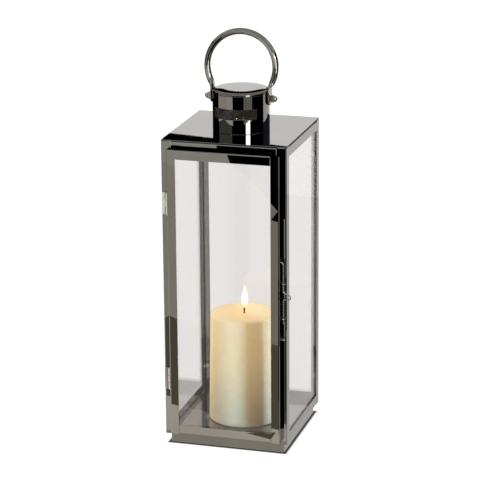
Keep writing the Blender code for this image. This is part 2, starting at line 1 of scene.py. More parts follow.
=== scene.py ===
# %% [markdown]
# # A candle lantern
# This lesson dresses a finished CAD model: a tall glazed case with a hinged door, a vented
# chimney, a loop handle and a pillar candle. The CAD holds every size and every joint. Here we
# give each piece its surface and, where a real part is rounder than its CAD solid, a finer mesh.

# %% Load the frame
import json
import math

import bmesh
import bpy
from mathutils import Matrix, Vector


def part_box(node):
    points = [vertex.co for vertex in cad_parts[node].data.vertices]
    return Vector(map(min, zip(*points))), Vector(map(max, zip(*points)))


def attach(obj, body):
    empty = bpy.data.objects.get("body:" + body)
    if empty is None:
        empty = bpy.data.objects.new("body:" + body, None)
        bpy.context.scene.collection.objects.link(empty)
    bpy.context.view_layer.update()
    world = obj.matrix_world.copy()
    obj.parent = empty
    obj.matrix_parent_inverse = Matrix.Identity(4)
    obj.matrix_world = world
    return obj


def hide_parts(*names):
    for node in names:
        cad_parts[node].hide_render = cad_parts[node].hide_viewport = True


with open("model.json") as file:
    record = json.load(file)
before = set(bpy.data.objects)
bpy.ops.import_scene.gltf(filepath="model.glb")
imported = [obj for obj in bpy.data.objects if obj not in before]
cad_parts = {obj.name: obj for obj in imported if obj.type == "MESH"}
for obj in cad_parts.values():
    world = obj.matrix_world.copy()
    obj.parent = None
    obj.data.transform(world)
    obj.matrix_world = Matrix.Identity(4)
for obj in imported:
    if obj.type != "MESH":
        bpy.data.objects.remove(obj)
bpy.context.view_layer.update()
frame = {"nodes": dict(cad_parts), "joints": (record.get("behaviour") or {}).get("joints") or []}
MM = 0.001
X, Y, Z = Vector((1, 0, 0)), Vector((0, 1, 0)), Vector((0, 0, 1))

# %% [markdown]
# ## Camera
# The viewpoint is about two and a half metres away, a little above the lantern and to its right,
# with a long lens, so upright edges stay almost parallel. We place it by its yaw, pitch and roll.

# %% Camera
CAMERA_PLACE = Vector((642.2, -2183.2, 893.1)) * MM
CAMERA_YAW = math.radians(16.45)
CAMERA_PITCH = math.radians(-16.74)
CAMERA_ROLL = math.radians(-0.47)
LENS_MM = 170.4
SENSOR_MM = 36

bpy.context.scene.view_settings.view_transform = "Standard"
camera_data = bpy.data.cameras.new("camera")
camera_data.lens = LENS_MM
camera_data.sensor_width = SENSOR_MM
camera = bpy.data.objects.new("camera", camera_data)
bpy.context.collection.objects.link(camera)
aim = Vector((-math.sin(CAMERA_YAW) * math.cos(CAMERA_PITCH),
              math.cos(CAMERA_YAW) * math.cos(CAMERA_PITCH), math.sin(CAMERA_PITCH)))
level_right = Vector((math.cos(CAMERA_YAW), math.sin(CAMERA_YAW), 0))
level_up = level_right.cross(aim)
right = level_right * math.cos(CAMERA_ROLL) + level_up * math.sin(CAMERA_ROLL)
up = level_up * math.cos(CAMERA_ROLL) - level_right * math.sin(CAMERA_ROLL)
turn = Matrix((right, up, -aim)).transposed().to_4x4()
camera.matrix_world = Matrix.Translation(CAMERA_PLACE) @ turn
bpy.context.scene.camera = camera
print("camera", [round(v, 3) for v in camera.location])

# %% [markdown]
# ## Tools for materials
# Colours are easiest to judge as sRGB hex values, while shaders work in linear light, so one
# function converts them. A second one adds a node, sets its values and plugs in its links.


# %% Material helpers
def linear(hex_code):
    """An sRGB hex colour as linear RGBA."""
    channels = [int(hex_code[i:i + 2], 16) / 255 for i in (1, 3, 5)]
    return (*[c / 12.92 if c <= 0.04045 else ((c + 0.055) / 1.055) ** 2.4 for c in channels], 1.0)


def add_node(tree, kind, values=None, links=None, **settings):
    """Add a node: settings are its attributes, values its input values, links its input sources."""
    node = tree.nodes.new(kind)
    for key, value in settings.items():
        setattr(node, key, value)
    for key, value in (values or {}).items():
        node.inputs[key].default_value = value
    for key, source in (links or {}).items():
        tree.links.new(source, node.inputs[key])
    return node


def new_material(name):
    """An empty node material, its tree and its output node."""
    made = bpy.data.materials.new(name)
    made.use_nodes = True
    tree = made.node_tree
    tree.nodes.clear()
    output = tree.nodes.new("ShaderNodeOutputMaterial")
    return made, tree, output


def object_place(tree):
    """The piece's own coordinates, in metres."""
    return add_node(tree, "ShaderNodeTexCoord").outputs["Object"]


def two_stops(ramp, low, high, low_at=0.0, high_at=1.0):
    """Set a colour ramp's two ends."""
    first, last = ramp.color_ramp.elements[0], ramp.color_ramp.elements[1]
    first.position, first.color = low_at, low
    last.position, last.color = high_at, high


def grey(value):
    """A grey as RGBA, for ramps that drive a number."""
    return (value, value, value, 1.0)


print("colour and node helpers ready")

# %% [markdown]
# ## Patterns that materials share
# Wear, waves, soot and mottling are all noise of some size, and most finishes use such a pattern
# three times: for the colour, the roughness and the bump. So each of those is one short function,
# and the sizes are in millimetres, because that is how we judge them on the real thing.


# %% Pattern helpers
def noise(tree, place, size_mm, detail):
    """A noise pattern whose features are about size_mm across."""
    values = {"Scale": 1 / (size_mm * MM), "Detail": detail}
    return add_node(tree, "ShaderNodeTexNoise", values, {"Vector": place}).outputs["Fac"]


def bump_from(tree, height, strength, depth_mm):
    """A shading normal that follows a height pattern, depth_mm deep."""
    values = {"Strength": strength, "Distance": depth_mm * MM}
    return add_node(tree, "ShaderNodeBump", values, {"Height": height}).outputs["Normal"]


def remap(tree, source, low, high, start=0.0, end=1.0, **settings):
    """A value that goes from low to high as its source goes from start to end."""
    values = {"From Min": start, "From Max": end, "To Min": low, "To Max": high}
    return add_node(tree, "ShaderNodeMapRange", values, {"Value": source}, **settings).outputs["Result"]


def tone_from(tree, source, low, high, low_at=0.0, high_at=1.0):
    """A colour that goes from low to high, two hex codes, as its source rises."""
    ramp = add_node(tree, "ShaderNodeValToRGB", links={"Fac": source})
    two_stops(ramp, linear(low), linear(high), low_at, high_at)
    return ramp.outputs["Color"]


def finish_with(tree, output, values, links):
    """End a material with one principled shader."""
    shader = add_node(tree, "ShaderNodeBsdfPrincipled", values, links)
    tree.links.new(shader.outputs["BSDF"], output.inputs["Surface"])


print("pattern helpers ready")

# %% [markdown]
# ## Dark nickel on polished steel
# The case is stainless sheet, mirror polished and plated with dark ("black") nickel. Such a plate
# reflects about a quarter of the light face on and far more at a glancing angle, which is why the
# roof looks pale and the front looks dark. Rolled sheet is never quite flat, so its reflections
# waver a little, and wiping leaves hair-fine marks that only roughness shows. The handle's rod gets a
# paler copy of the plate, painted light that brightens its reflections. One function makes both,
# from two tones each.

# %% Dark nickel
SHEET_WAVE_MM = 38          # distance between the slow waves in rolled sheet
SHEET_WAVE_DEPTH_MM = 0.004
WIPE_MARK_MM = 1.4          # drawn about ten times coarser than real wiping marks, so that they show
WIPE_STRETCH = 0.06         # how much longer the marks are than wide, upwards
PLATE_CLOUD_MM = 60         # the plate's colour drifts slowly across a piece


def make_dark_nickel(name, low_tone, high_tone):
    made, tree, output = new_material(name)
    place = object_place(tree)
    wave = noise(tree, place, SHEET_WAVE_MM, 1.0)
    stretch = add_node(tree, "ShaderNodeMapping", {"Scale": (1, 1, WIPE_STRETCH)}, {"Vector": place})
    marks = noise(tree, stretch.outputs["Vector"], WIPE_MARK_MM, 3.0)
    cloud = noise(tree, place, PLATE_CLOUD_MM, 2.0)
    finish_with(tree, output, {"Metallic": 1.0},
                {"Base Color": tone_from(tree, cloud, low_tone, high_tone, 0.3, 0.7),
                 "Roughness": remap(tree, marks, 0.003, 0.02, 0.35, 0.75),
                 "Normal": bump_from(tree, wave, 1.0, SHEET_WAVE_DEPTH_MM)})
    return made


dark_nickel = make_dark_nickel("dark_nickel_plate", "#8A8780", "#918E87")
# A paler copy of the dark nickel for the handle: painted light, so that its reflections come out
# brighter.
rod_nickel_lit_copy = make_dark_nickel("dark_nickel_lit_copy_on_rod", "#A29E97", "#AAA69F")
print("made", dark_nickel.name, "and", rod_nickel_lit_copy.name)

# %% [markdown]
# ## Bright nickel
# Clips, latch wire, screws and nuts are plain nickel-plated steel, paler, warmer and a little
# brushed. Fine drawing lines run along the parts, so the roughness varies in thin streaks.

# %% Bright nickel
DRAW_LINE_MM = 0.5          # spacing of the drawing lines, coarser than real ones so that they show
DRAW_STRETCH = 0.1          # the lines run upwards


def make_bright_nickel():
    made, tree, output = new_material("bright_nickel_plate")
    place = object_place(tree)
    stretch = add_node(tree, "ShaderNodeMapping", {"Scale": (1, 1, DRAW_STRETCH)}, {"Vector": place})
    lines = noise(tree, stretch.outputs["Vector"], DRAW_LINE_MM, 2.0)
    finish_with(tree, output, {"Metallic": 1.0},
                {"Base Color": tone_from(tree, lines, "#BEB8AA", "#DBD6C9", 0.3, 0.7),
                 "Roughness": remap(tree, lines, 0.13, 0.3, 0.3, 0.7),
                 "Normal": bump_from(tree, lines, 0.4, 0.02)})
    return made


bright_nickel = make_bright_nickel()
print("made", bright_nickel.name)

# %% [markdown]
# ## Pale zinc and bare steel
# The hinges are bought-in parts with a pale zinc plate: brighter than nickel and duller, with a
# faint crystal bloom. The inside of the chimney is never polished, and smoke darkens it, so it
# gets a matt steel of its own. Real zinc bloom is far finer than the pattern here.

# %% Zinc and chimney inside
BLOOM_MM = 1.1              # crystals of the zinc bloom
SOOT_MM = 12                # patches of soot
SOOTED_METAL = 0.7          # soot hides part of the metal


def make_zinc():
    made, tree, output = new_material("pale_zinc_plate")
    place = object_place(tree)
    bloom = add_node(tree, "ShaderNodeTexVoronoi", {"Scale": 1 / (BLOOM_MM * MM)}, {"Vector": place})
    finish_with(tree, output, {"Metallic": 1.0},
                {"Base Color": tone_from(tree, bloom.outputs["Color"], "#E6E3D5", "#F7F5EA"),
                 "Roughness": remap(tree, bloom.outputs["Distance"], 0.1, 0.22)})
    return made


def make_chimney_inside():
    made, tree, output = new_material("smoked_bare_steel")
    place = object_place(tree)
    soot = noise(tree, place, SOOT_MM, 4.0)
    finish_with(tree, output, {"Metallic": SOOTED_METAL},
                {"Base Color": tone_from(tree, soot, "#4A4741", "#6E6A61", 0.3, 0.7),
                 "Roughness": remap(tree, soot, 0.4, 0.6)})
    return made


pale_zinc = make_zinc()
chimney_inside = make_chimney_inside()
print("made", pale_zinc.name, "and", chimney_inside.name)

# %% [markdown]
# ## Float glass
# Float glass is almost colourless through its thickness, but iron in it turns a long path blue
# green, so cut edges look teal. Faces and edges therefore get two materials. The faces keep a
# faint cast and slow ripples in the drawing direction.

# %% Glass
GLASS_IOR = 1.52
FACE_TINT = "#F8F6F5"
EDGE_TINT, EDGE_TINT_PALE = "#5F7F78", "#9DB5AF"
RIPPLE_MM = 55              # distance between the slow ripples of float glass
RIPPLE_DEPTH_MM = 0.006
GRIND_MM = 0.8              # grain of the ground edge


def make_glass_face():
    made, tree, output = new_material("float_glass_face")
    place = object_place(tree)
    ripple = noise(tree, place, RIPPLE_MM, 0.0)
    finish_with(tree, output, {"Base Color": linear(FACE_TINT), "Roughness": 0.0, "IOR": GLASS_IOR,
                               "Transmission Weight": 1.0},
                {"Normal": bump_from(tree, ripple, 1.0, RIPPLE_DEPTH_MM)})
    return made


def make_glass_edge():
    made, tree, output = new_material("float_glass_edge")
    place = object_place(tree)
    grind = noise(tree, place, GRIND_MM, 2.0)
    finish_with(tree, output, {"IOR": GLASS_IOR, "Transmission Weight": 0.75},
                {"Base Color": tone_from(tree, grind, EDGE_TINT, EDGE_TINT_PALE, 0.35, 0.75),
                 "Roughness": remap(tree, grind, 0.12, 0.3, 0.3, 0.7)})
    return made


glass_face = make_glass_face()
glass_edge = make_glass_edge()
print("made", glass_face.name, "and", glass_edge.name)

# %% [markdown]
# ## Candle wax
# Paraffin lets light in a few millimetres and spreads it, more red than blue, so shadows on it are
# warm. Moulded wax has a satin skin, slight mottling from cooling and soft, shallow dents. Light
# from the flame travels down inside the wax, so its top glows. Tracing that light would take far too
# many samples, so we add a faint emission that fades with the distance from the flame's foot.

# %% Wax
WAX_IOR = 1.44
MOTTLE_MM, DENT_MM = 9, 22
SPREAD_MM = 3               # how far light travels inside the wax
SPREAD_RED_GREEN_BLUE = (1.0, 0.62, 0.3)
GLOW_CENTRE_MM = 128        # height of the flame's foot, where light enters the wax
GLOW_NEAR_MM, GLOW_FAR_MM, GLOW_LEVEL = 25, 125, 0.34


def make_wax():
    made, tree, output = new_material("ivory_paraffin_wax")
    place = object_place(tree)
    mottle = noise(tree, place, MOTTLE_MM, 3.0)
    dents = noise(tree, place, DENT_MM, 1.0)
    reach = add_node(tree, "ShaderNodeVectorMath", {1: (0, 0, GLOW_CENTRE_MM * MM)}, {0: place},
                     operation="DISTANCE")
    glow = remap(tree, reach.outputs["Value"], GLOW_LEVEL, 0.0, GLOW_NEAR_MM * MM, GLOW_FAR_MM * MM,
                 interpolation_type="SMOOTHSTEP")
    finish_with(tree, output,
                {"Emission Color": linear("#FFDA8C"), "Subsurface Weight": 0.5,
                 "Subsurface Radius": SPREAD_RED_GREEN_BLUE, "Subsurface Scale": SPREAD_MM * MM,
                 "IOR": WAX_IOR, "Specular IOR Level": 0.2},
                {"Base Color": tone_from(tree, mottle, "#F2E2B4", "#F7EAC4", 0.3, 0.7),
                 "Roughness": remap(tree, mottle, 0.36, 0.5, 0.3, 0.7),
                 "Normal": bump_from(tree, dents, 0.5, 0.12), "Emission Strength": glow})
    return made


wax = make_wax()
print("made", wax.name)

# %% [markdown]
# ## Wick and flame
# The wick is plaited cotton, charred above the wax. A flame is only glowing gas: almost white where
# it is hottest, yellow round that, and it thins to orange at its tip. Its colour and how solid it
# looks both follow height, so one gradient drives each.

# %% Wick and flame materials
PLAIT_MM = 0.9
WAVES_PER_PLAIT = 0.16      # the wave texture counts its bands in another unit
FLAME_STRENGTH = 3.2


def make_wick():
    made, tree, output = new_material("charred_cotton")
    place = object_place(tree)
    values = {"Scale": WAVES_PER_PLAIT / (PLAIT_MM * MM), "Distortion": 1.5}
    plait = add_node(tree, "ShaderNodeTexWave", values, {"Vector": place},
                     bands_direction="DIAGONAL").outputs["Fac"]
    finish_with(tree, output, {"Roughness": 0.9},
                {"Base Color": tone_from(tree, plait, "#22120A", "#6B4322"),
                 "Normal": bump_from(tree, plait, 1.0, 0.25)})
    return made


def make_flame():
    made, tree, output = new_material("candle_flame")
    own_box = add_node(tree, "ShaderNodeTexCoord").outputs["Generated"]
    height = add_node(tree, "ShaderNodeSeparateXYZ", links={"Vector": own_box}).outputs["Z"]
    colour = add_node(tree, "ShaderNodeValToRGB", links={"Fac": height})
    two_stops(colour, linear("#F0A040"), linear("#FF8A2A"))
    for place_on, tint in ((0.16, "#FFD27A"), (0.34, "#FFF6DC"), (0.66, "#FFF3CF"), (0.84, "#FFC46A")):
        colour.color_ramp.elements.new(place_on).color = linear(tint)
    solid = add_node(tree, "ShaderNodeValToRGB", links={"Fac": height})
    two_stops(solid, grey(0.35), grey(0.0))
    for place_on, much in ((0.22, 0.9), (0.7, 1.0), (0.86, 0.5)):
        solid.color_ramp.elements.new(place_on).color = grey(much)
    glow = add_node(tree, "ShaderNodeEmission", {"Strength": FLAME_STRENGTH},
                    {"Color": colour.outputs["Color"]})
    clear = add_node(tree, "ShaderNodeBsdfTransparent")
    mix = add_node(tree, "ShaderNodeMixShader", links={"Fac": solid.outputs["Color"]})
    tree.links.new(clear.outputs["BSDF"], mix.inputs[1])
    tree.links.new(glow.outputs["Emission"], mix.inputs[2])
    tree.links.new(mix.outputs["Shader"], output.inputs["Surface"])
    return made


charred_cotton = make_wick()
flame_glow = make_flame()
print("made", charred_cotton.name, "and", flame_glow.name)

# %% [markdown]
# ## Tools for meshes
# Almost every turned, swept or folded piece is a row of rings joined with quads. One function joins
# the rings, and a second turns the result into a piece that rides on a CAD body and stands for the
# CAD nodes it replaces.


# %% Mesh helpers
def bridge(bm, rings, cyclic=False, ends=True, material=0):
    """Join equal rings of points with quads, with end faces if the run is open."""
    rows = [[bm.verts.new(point) for point in ring] for ring in rings]
    pairs = list(zip(rows, rows[1:]))
    if cyclic:
        pairs.append((rows[-1], rows[0]))
    for row, after in pairs:
        for i in range(len(row)):
            j = (i + 1) % len(row)
            bm.faces.new((row[i], row[j], after[j], after[i])).material_index = material
    if ends and not cyclic:
        bm.faces.new(rows[0]).material_index = material
        bm.faces.new(rows[-1]).material_index = material


def add_piece(name, bm, materials, body, stands_for=(), crease=35):
    """Make a piece from a bmesh in world space, and say what it rides on and what it stands for."""
    bmesh.ops.recalc_face_normals(bm, faces=bm.faces)
    mesh = bpy.data.meshes.new(name)
    bm.to_mesh(mesh)
    bm.free()
    for finish in materials:
        mesh.materials.append(finish)
    mesh.shade_smooth()
    mesh.set_sharp_from_angle(angle=math.radians(crease))
    piece = bpy.data.objects.new(name, mesh)
    bpy.context.collection.objects.link(piece)
    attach(piece, body)
    if stands_for:
        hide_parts(*stands_for)
    return piece


def ring_piece(name, rings, finish, body, stands_for=(), cyclic=False, crease=35):
    """Make a piece of one material from a single run of rings."""
    bm = bmesh.new()
    bridge(bm, rings, cyclic=cyclic)
    return add_piece(name, bm, (finish,), body, stands_for, crease)


print("piece helpers ready")

# %% [markdown]
# ## Turned, bent and swept shapes
# A lathe turns an outline about an axis, a bender leads round wire along a path, and cut wire keeps
# a small round at its ends. These functions give the rings for such shapes, ready to be joined.


# %% Ring makers
def arc(centre, radius, start, end, steps):
    """Points on an arc in a plane, from start to end in degrees."""
    angles = [math.radians(start + (end - start) * i / steps) for i in range(steps + 1)]
    return [(centre[0] + radius * math.cos(a), centre[1] + radius * math.sin(a)) for a in angles]


def turned_rings(profile, origin, axis, sides):
    """Rings for a (radius, distance) outline turned about an axis."""
    side = axis.orthogonal().normalized()
    other = axis.cross(side)
    rings = []
    for radius, along in profile:
        centre = Vector(origin) + axis * along
        angles = [2 * math.pi * i / sides for i in range(sides)]
        rings.append([centre + (side * math.cos(a) + other * math.sin(a)) * radius for a in angles])
    return rings


def tube_rings(path, radius, sides=16):
    """Rings of round wire along a path of vectors."""
    across = (path[1] - path[0]).orthogonal().normalized()
    rings = []
    for i, point in enumerate(path):
        tangent = (path[min(i + 1, len(path) - 1)] - path[max(i - 1, 0)]).normalized()
        across = (across - tangent * across.dot(tangent)).normalized()
        normal = tangent.cross(across)
        angles = [2 * math.pi * k / sides for k in range(sides)]
        rings.append([point + (across * math.cos(a) + normal * math.sin(a)) * radius for a in angles])
    return rings


def rounded_ends(path, radius, steps=4):
    """Lengthen a path by a few points at each end, with the radii that round them off."""
    start_way = (path[0] - path[1]).normalized()
    end_way = (path[-1] - path[-2]).normalized()
    first, last = [], []
    for i in range(1, steps + 1):
        a = math.pi / 2 * i / (steps + 0.15)
        first.insert(0, (path[0] + start_way * radius * math.sin(a), radius * math.cos(a)))
        last.append((path[-1] + end_way * radius * math.sin(a), radius * math.cos(a)))
    return first + [(point, radius) for point in path] + last


def wire_rings(path, radius, sides=16):
    """Rings of round wire with softly rounded ends."""
    spots = rounded_ends(path, radius)
    plain = tube_rings([point for point, size in spots], 1.0, sides)
    return [[point + (corner - point) * size for corner in ring]
            for ring, (point, size) in zip(plain, spots)]


def round_corners(points, radius, steps=8):
    """Replace each inner corner of a path with a curve that starts radius before it."""
    path = [Vector(points[0])]
    for before, corner, after in zip(points, points[1:], points[2:]):
        before, corner, after = Vector(before), Vector(corner), Vector(after)
        reach = min(radius, (corner - before).length / 2, (after - corner).length / 2)
        start = corner + (before - corner).normalized() * reach
        end = corner + (after - corner).normalized() * reach
        for i in range(steps + 1):
            t = i / steps
            path.append(start * (1 - t) ** 2 + corner * 2 * t * (1 - t) + end * t ** 2)
    path.append(Vector(points[-1]))
    return path


print("ring makers ready")

# %% [markdown]
# ## Folded sheet
# Posts, rails, door bars, floor, plinth and roof are folded or flat sheet, and the CAD already has
# their folds. They keep their CAD meshes. A hair-fine bevel breaks the sawn edges, because a real
# sheet edge is never perfectly sharp and always catches a thin line of light.

# %% Dress the sheet metal
SHEET_PIECES = ["plinth", "floor_plate", "roof_plate", "door_stile_left", "door_stile_right",
                "door_rail_top", "door_rail_bottom"]
SHEET_PIECES += [f"corner_post_{y}_{x}" for y in ("front", "back") for x in ("left", "right")]
SHEET_PIECES += [f"{level}_rail_{side}" for level in ("bottom", "top")
                 for side in ("front", "back", "left", "right")]
EDGE_BREAK = 0.18 * MM


def break_edges(piece):
    """Round off an object's square edges by a hair, without bending the shading of its flat faces."""
    bevel = piece.modifiers.new("edge_break", "BEVEL")
    bevel.width = EDGE_BREAK
    bevel.segments = 2
    bevel.limit_method = "ANGLE"
    bevel.angle_limit = math.radians(50)
    bevel.harden_normals = True


def dress(name, finish):
    """Give a CAD node its material, smooth folds and softly broken edges."""
    node = frame["nodes"][name]
    node.data.materials.clear()
    node.data.materials.append(finish)
    node.data.shade_smooth()
    break_edges(node)


for sheet_name in SHEET_PIECES:
    dress(sheet_name, dark_nickel)
print("dressed", len(SHEET_PIECES), "sheet pieces")

# %% [markdown]
# ## Clips
# Small sprung tongues press the panes against the posts. Their CAD shape is right already, so they
# only get the bright nickel finish and broken edges.

# %% Clips
clip_names = sorted(name for name in frame["nodes"] if "clip_" in name)
for clip_name in clip_names:
    dress(clip_name, bright_nickel)
print("dressed", len(clip_names), "clips")

# %% [markdown]
# ## Panes
# Each pane is a flat slab whose edges have been ground with a small chamfer on both sides. We
# build it as nested outlines through its thickness, so that the ground band can have the teal
# edge material. Light reaches the candle straight through the panes, so they cast no shadow.

# %% Panes
CHAMFER = 0.5 * MM
PANES = {"glass_back": "case", "glass_left": "case", "glass_right": "case", "door_glass": "door"}


def make_pane(name, body):
    low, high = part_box(name)
    size = high - low
    thin = min(range(3), key=lambda i: size[i])
    wide, tall = [i for i in range(3) if i != thin]

    def outline(depth, inset):
        corners = [(low[wide] + inset, low[tall] + inset), (high[wide] - inset, low[tall] + inset),
                   (high[wide] - inset, high[tall] - inset), (low[wide] + inset, high[tall] - inset)]
        ring = []
        for a, b in corners:
            point = Vector((0, 0, 0))
            point[wide], point[tall], point[thin] = a, b, depth
            ring.append(point)
        return ring

    bm = bmesh.new()
    bridge(bm, [outline(low[thin], CHAMFER), outline(low[thin] + CHAMFER, 0),
                outline(high[thin] - CHAMFER, 0), outline(high[thin], CHAMFER)], material=1)
    for face in bm.faces:
        if face.calc_area() > 0.5 * size[wide] * size[tall]:
            face.material_index = 0
    finishes = (glass_face, glass_edge)
    pane = add_piece(f"pane_{name}", bm, finishes, body, (name,), crease=20)
    pane.visible_shadow = False


for pane_name, pane_body in PANES.items():
    make_pane(pane_name, pane_body)
print("made", len(PANES), "panes")

# %% [markdown]
# ## Chimney collar
# The collar is a band of the same sheet rolled into a tube, with a long vent slot punched through
# it at the front and the back. We lay out its wall as a grid of angle and height, leave the slots
# out, and let Solidify give it the sheet's thickness. Its foot turns inwards as a ring, which shows
# through the slot. The foot is a piece of its own in the hinges' pale zinc, far paler than the
# sheet: painted light that makes it a bright ring.

# %% Collar
collar_low, collar_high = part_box("chimney_collar")
COLLAR_RADIUS = collar_high.x
SHEET = 1.0 * MM
FRONT_ANGLE, BACK_ANGLE = 270, 90           # degrees round the tube
SLOT_HALF_ANGLE = 49
SLOT_LOW, SLOT_HIGH = 344.2 * MM, 354.8 * MM
ANGLE_STEP = 2
LIP_HOLE = 25.5 * MM                        # the turned-in foot's inner radius
LIP_BEND = 2.8 * MM
TURNED_SIDES = 144


def make_collar():
    slot_ends = {middle + half for middle in (FRONT_ANGLE, BACK_ANGLE)
                 for half in (-SLOT_HALF_ANGLE, SLOT_HALF_ANGLE)}
    angles = sorted(set(range(0, 360, ANGLE_STEP)) | slot_ends)
    outline = [(COLLAR_RADIUS * math.cos(math.radians(a)), COLLAR_RADIUS * math.sin(math.radians(a)))
               for a in angles]
    heights = [collar_low.z, collar_low.z + 2 * MM, SLOT_LOW, SLOT_HIGH,
               collar_high.z - 6 * MM, collar_high.z]
    bm = bmesh.new()
    grid = [[bm.verts.new((x, y, z)) for x, y in outline] for z in heights]
    for level, (row, after) in enumerate(zip(grid, grid[1:])):
        for i in range(len(angles)):
            j = (i + 1) % len(angles)
            middle = (angles[i] + (angles[i + 1] if i + 1 < len(angles) else 360)) / 2
            open_slot = min(abs(middle - FRONT_ANGLE), abs(middle - BACK_ANGLE)) < SLOT_HALF_ANGLE
            if heights[level] == SLOT_LOW and open_slot:
                continue
            bm.faces.new((row[i], row[j], after[j], after[i]))
    finishes = (dark_nickel, chimney_inside)
    collar = add_piece("collar_band", bm, finishes, "case", ("chimney_collar",))
    wall = collar.modifiers.new("sheet_thickness", "SOLIDIFY")
    wall.thickness = SHEET
    wall.offset = -1
    wall.material_offset = 1
    break_edges(collar)


def make_collar_lip():
    outer = COLLAR_RADIUS - SHEET
    z = collar_low.z
    profile = [(outer, z)]
    profile += arc((outer - LIP_BEND, z + SHEET + LIP_BEND), LIP_BEND, 0, -90, 8)
    profile += [(LIP_HOLE, z + SHEET), (LIP_HOLE, z)]
    rings = list(zip(*turned_rings(profile, (0, 0, 0), Z, TURNED_SIDES)))
    # Pale zinc on the collar's own sheet: painted light, a bright ring seen through the slot.
    ring_piece("collar_lip", rings, pale_zinc, "case", cyclic=True)


make_collar()
make_collar_lip()
print("collar radius mm", round(COLLAR_RADIUS / MM, 2))

# %% [markdown]
# ## Chimney cap
# A pressed lid: flat in the middle, falling away in a soft curve to a small rolled rim. The curve
# is what turns its front from pale to black, because each part of it mirrors another height of the
# room.

# %% Cap
cap_low, cap_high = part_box("chimney_cap")
CAP_PLUG = 27.9 * MM        # radius of the part that goes into the collar
CAP_FALL = 1.9 * MM         # how far the rim lies below the middle
CAP_FLAT = 0.87             # share of the radius that is flat
CAP_SOFT = 0.3 * MM


def make_cap():
    radius = cap_high.x
    rim = cap_high.z - CAP_FALL
    under = collar_high.z + CAP_SOFT
    flat = CAP_FLAT * radius
    profile = [(CAP_PLUG - SHEET, cap_low.z), (CAP_PLUG, cap_low.z), (CAP_PLUG, under),
               (radius - CAP_SOFT, under), (radius, under + CAP_SOFT)]
    steps = 10
    for i in range(steps + 1):
        a = math.pi / 2 * (1 - i / steps)
        profile.append((flat + (radius - flat) * math.sin(a), rim + (cap_high.z - rim) * math.cos(a)))
    profile += [(flat * 0.66, cap_high.z), (flat * 0.33, cap_high.z)]
    rings = turned_rings(profile, (0, 0, 0), Z, TURNED_SIDES)
    ring_piece("pressed_cap", rings, dark_nickel, "case", ("chimney_cap",))


make_cap()
print("cap top mm", round(cap_high.z / MM, 1))

# %% [markdown]
# ## Handle
# One length of round rod, bent into a loop. Each end is pressed flat into a tab with a round tip,
# and a screw goes through it. We sweep a section along the centre line and let it change from a
# wide, thin, square-ish tab into a circle. Our tab has no hole, so the screw's shank runs through
# solid metal there: the nut covers the outer face, and the inner face lies against the collar.

# %% Handle
PIVOT = Vector((0, 0, frame["joints"][2]["pos_m"][2]))
HANDLE_LEAN = math.radians(3.6)
RING_RADIUS = 36.3 * MM
RING_HEIGHT = 31.8 * MM
ROD = 3.3 * MM
TAB_X = 30.7 * MM
TAB_THIN = 0.9 * MM
TAB_HALF_WIDTH = 6.6 * MM
TAB_TOP = 5.4 * MM          # the tab keeps its full width up to here
NECK_FOOT = 9 * MM          # and from here it narrows into the rod
TAB_SQUARE, ROD_SQUARE = 6, 2               # how square a section is: 2 is a circle
RING_START = -23            # degrees, where the round rod begins
ROD_SIDES = 32


def handle_spots():
    """Half of the centre line, foot to crown.

    Each spot is (x, z above the pivot, half width, half depth, squareness).
    """
    spots = []
    for i in range(13):
        a = math.pi / 2 * i / 12
        z = -TAB_HALF_WIDTH * math.cos(a)
        wide = max(math.sqrt(max(TAB_HALF_WIDTH ** 2 - z ** 2, 0)), 0.1 * TAB_HALF_WIDTH)
        spots.append((TAB_X, z, wide, TAB_THIN, TAB_SQUARE))
    spots.append((TAB_X, TAB_TOP, TAB_HALF_WIDTH, TAB_THIN, TAB_SQUARE))
    join = math.radians(RING_START)
    start = Vector((TAB_X, NECK_FOOT))
    end = Vector((RING_RADIUS * math.cos(join), RING_HEIGHT + RING_RADIUS * math.sin(join)))
    pull = (end - start).length * 0.4
    first = start + Vector((0, pull))
    second = end - Vector((-math.sin(join), math.cos(join))) * pull
    steps = 16
    for i in range(steps + 1):
        t = i / steps
        spot = (start * (1 - t) ** 3 + first * 3 * t * (1 - t) ** 2
                + second * 3 * t ** 2 * (1 - t) + end * t ** 3)
        ease = t * t * (3 - 2 * t)
        spots.append((spot.x, spot.y, TAB_HALF_WIDTH + (ROD - TAB_HALF_WIDTH) * ease,
                      TAB_THIN + (ROD - TAB_THIN) * ease,
                      TAB_SQUARE + (ROD_SQUARE - TAB_SQUARE) * ease))
    turns = 44
    for i in range(1, turns + 1):
        a = join + (math.pi / 2 - join) * i / turns
        spots.append((RING_RADIUS * math.cos(a), RING_HEIGHT + RING_RADIUS * math.sin(a),
                      ROD, ROD, ROD_SQUARE))
    return spots


def make_handle():
    half = handle_spots()
    spots = half + [(-x, *rest) for x, *rest in reversed(half[:-1])]
    lean = Matrix.Translation(PIVOT) @ Matrix.Rotation(-HANDLE_LEAN, 4, "X")
    path = [Vector((x, 0, z)) for x, z, *rest in spots]
    rings = []
    for i, (point, (x, z, wide, deep, square)) in enumerate(zip(path, spots)):
        tangent = (path[min(i + 1, len(path) - 1)] - path[max(i - 1, 0)]).normalized()
        normal = tangent.cross(Y)
        ring = []
        for k in range(ROD_SIDES):
            a = 2 * math.pi * k / ROD_SIDES
            c, s = math.cos(a), math.sin(a)
            u = math.copysign(abs(c) ** (2 / square), c)
            v = math.copysign(abs(s) ** (2 / square), s)
            ring.append(lean @ (point + Y * wide * u + normal * deep * v))
        rings.append(ring)
    # The loop wears the paler copy of the dark nickel: painted light.
    ring_piece("handle_loop", rings, rod_nickel_lit_copy, "handle", ("handle",), crease=50)


make_handle()

# %% [markdown]
# ## Screws and domed nuts
# A pan-head screw comes through the collar and the tab from inside, and a domed nut closes it
# outside. The nut is a hexagon with chamfered corners under a smooth dome.

